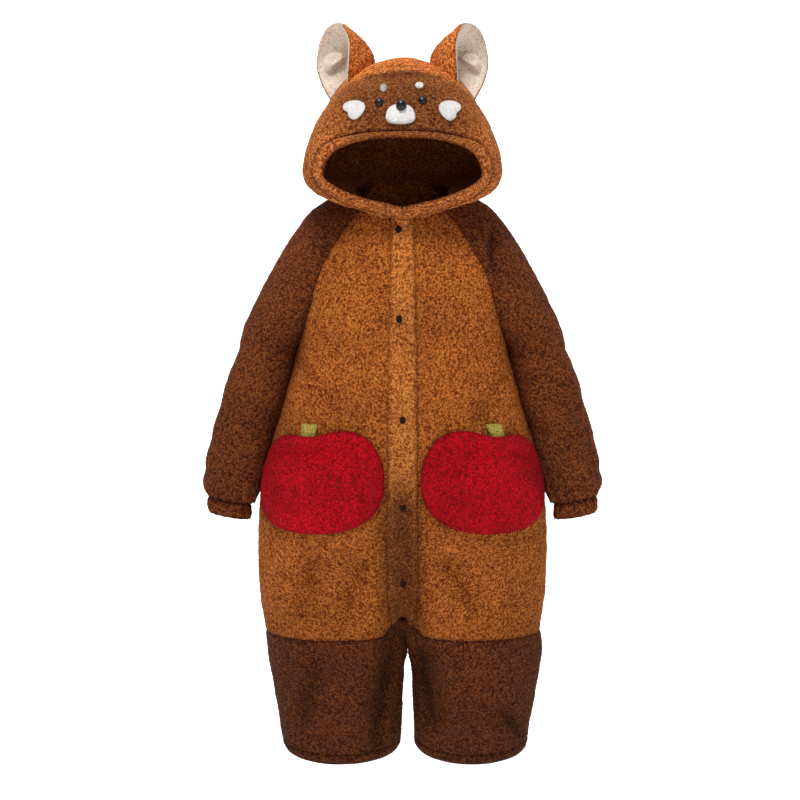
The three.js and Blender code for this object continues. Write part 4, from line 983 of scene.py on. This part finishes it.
def apple(turn):
    off = (turn - math.pi / 2) / POCKET["notch_turn"]
    notch = 1 - POCKET["notch"] / POCKET["height"] * np.exp(-off ** 2)
    x = POCKET["half"] * power(np.cos(turn), POCKET["power"]) * notch
    lean = POCKET["lean"] * np.maximum(0, np.sin(turn)) * np.cos(turn)
    return x, POCKET["height"] * power(np.sin(turn), POCKET["power"]) * notch - lean


def gape(share, turn):
    off = (turn - math.pi / 2) / 0.75
    return POCKET["lift"] + POCKET["gape"] * smooth(share) * np.exp(-off * off)


def sagging(deep):
    """A soft trough under the pocket's mouth and a swell below it."""
    return lambda a, b: (deep * np.exp(-((b - 41 + 0.16 * a) / 9) ** 2 - ((a - 14) / 58) ** 2)
                         - 0.5 * deep * np.exp(-((b - 10) / 20) ** 2 - (a / 60) ** 2))


def rounded(edge, full, n=2.0):
    """A thickness that grows from the edge to the middle."""
    return lambda share, turn: edge + (full - edge) * np.sqrt(np.clip(1 - share ** n, 0, 1)) + 0 * turn


def stem_outline(turn, lean):
    x, z = power(np.cos(turn), 7), power(np.sin(turn), 7)
    return (STEM["half"] + STEM["flare"] * z) * x - lean * z, STEM["height"] / 2 * z


for mirrored, label in enumerate(("left", "right")):
    patch(f"pocket_{label}", lambda a, b: on_front(POCKET["round"] + a, POCKET["z"] + b), apple,
          (POCKET["half"], POCKET["height"]), gape, rounded(1.5, POCKET["wall"] + 1, 14), "red",
          mirrored=mirrored, sag=sagging(POCKET["sag"][mirrored]))
    patch(f"stem_{label}", lambda a, b: on_front(STEM["round"] + a, STEM["z"] + b),
          lambda turn: stem_outline(turn, STEM["lean"][mirrored]), (14, 12),
          lambda s, t: POCKET["lift"] + 0 * s * t, rounded(1.6, STEM["wall"] + 0.6, 8), "olive", "felt",
          mirrored=mirrored)

# Face: finish, place, half size, thickness at edge and middle, power, taper, depth and turn of the
# notch, height of what lies under it
FACE = [
    ("muzzle", "white", (-3, 132.5), (20.5, 14.5), (2.5, 7), 2.6, 0.16, (0, 0), 0),
    ("nose", "black", (-2, 142.5), (7.5, 7.5), (1.5, 7), 2, 0, (0, 0), 7.4),
    ("cheek_right", "white", (-69, 139), (15, 14), (2, 3.6), 2, -0.34, (0.26, 3.5), 0.5),
    ("cheek_left", "white", (67, 138), (15, 14.5), (2, 3.6), 2, -0.34, (0.26, -0.3), 0.5),
    ("brow_right", "grey", (-27.5, 172.5), (5, 6.5), (1.4, 2.6), 2, 0, (0, 0), 0),
    ("brow_left", "white", (24, 176.5), (6, 5), (1.4, 2.6), 2, 0, (0, 0), 0),
    ("eye_right", "black", (-33.5, 150.5), (6.5, 6), (1, 4.5), 2, 0, (0, 0), 0),
    ("eye_left", "black", (28.5, 153.5), (6.5, 6), (1, 4.5), 2, 0, (0, 0), 0)]
for name, finish, (x, z), (wide, high), (edge, dome), n, taper, (notch, notch_at), under in FACE:
    def outline(turn):
        lobe = 1 - notch * np.exp((np.cos(turn - notch_at) - 1) / 0.05)
        across, up = power(np.cos(turn), n), power(np.sin(turn), n)
        return wide * lobe * (1 - taper * up) * across, high * lobe * up

    patch(name, lambda a, b: seen_from_front(hood_tree, x + a, z + b), outline, (wide, high),
          lambda s, t: 0.8 + under + 0 * s * t, rounded(edge, dome), finish,
          "felt" if finish == "black" else "plush")

# Snaps
band_tree = tree_of(placket)
for k, (x, z) in enumerate(SNAPS):
    patch(f"snap_{k + 1}", lambda a, b: seen_from_front(band_tree, x + a, z + b),
          lambda turn: (SNAP[0] * np.cos(turn), SNAP[1] * np.sin(turn)), SNAP, lambda s, t: 0.5 + 0 * s * t,
          rounded(1.2, 3.4), "snap", "felt")

# Floor, light and camera: a pale sweep of floor and backdrop behind, one soft light above in front
SWEEP = dict(width=30, front=-9, back=2.6, curve=2.0, top=9, floor=-0.95, glow=0.72)
WORLD_LIGHT = 0.3
profile = [(SWEEP["front"], SWEEP["floor"])]
for k in range(25):
    turn = math.pi / 2 * k / 24
    profile.append((SWEEP["back"] + SWEEP["curve"] * math.sin(turn),
                    SWEEP["floor"] + SWEEP["curve"] * (1 - math.cos(turn))))
profile.append((SWEEP["back"] + SWEEP["curve"], SWEEP["top"]))
sweep = bpy.data.meshes.new("floor")
sweep.from_pydata([(x * SWEEP["width"] / 2, y, z) for y, z in profile for x in (-1, 1)], [],
                  [(2 * k, 2 * k + 1, 2 * k + 3, 2 * k + 2) for k in range(len(profile) - 1)])
sweep.shade_smooth()
sweep_material, _, _, sweep_shader = plain_material("floor_white", (0.95, 0.95, 0.95, 1), 1)
sweep_shader.inputs["Emission Color"].default_value = (1, 1, 1, 1)
sweep_shader.inputs["Emission Strength"].default_value = SWEEP["glow"]
sweep.materials.append(sweep_material)
floor = bpy.data.objects.new("floor", sweep)
bpy.context.scene.collection.objects.link(floor)

world = bpy.data.worlds.new("studio")
bpy.context.scene.world = world
world.use_nodes = True
world.node_tree.nodes["Background"].inputs["Color"].default_value = (1, 1, 1, 1)
world.node_tree.nodes["Background"].inputs["Strength"].default_value = WORLD_LIGHT


def area_light(name, place, target, size, power_watts):
    light = bpy.data.lights.new(name, "AREA")
    light.shape = "DISK"
    light.size = size
    light.energy = power_watts
    lamp = bpy.data.objects.new(name, light)
    lamp.location = place
    lamp.rotation_euler = (Vector(target) - Vector(place)).to_track_quat("-Z", "Y").to_euler()
    bpy.context.scene.collection.objects.link(lamp)


area_light("key", (-0.3, -0.95, 2.05), (0, 0, -0.1), 0.9, 52)
area_light("fill", (1.2, -2.4, 0.4), (0, 0, -0.3), 1.2, 5)

camera = bpy.data.objects.new("camera", bpy.data.cameras.new("camera"))
bpy.context.scene.collection.objects.link(camera)
bpy.context.scene.camera = camera
camera.location = (PICTURE_MIDDLE[0] * MM, -CAMERA_AWAY * MM, CAMERA_HEIGHT * MM)
target = Vector((PICTURE_MIDDLE[0] * MM, 0, CAMERA_AIM * MM))
camera.rotation_euler = (target - camera.location).to_track_quat("-Z", "Y").to_euler()
camera.data.sensor_width = SENSOR
camera.data.lens = SENSOR * (target - camera.location).length / (PICTURE_SPAN * MM)
camera.data.shift_y = (PICTURE_MIDDLE[1] - CAMERA_AIM) / PICTURE_SPAN
bpy.context.scene.view_settings.view_transform = "Standard"
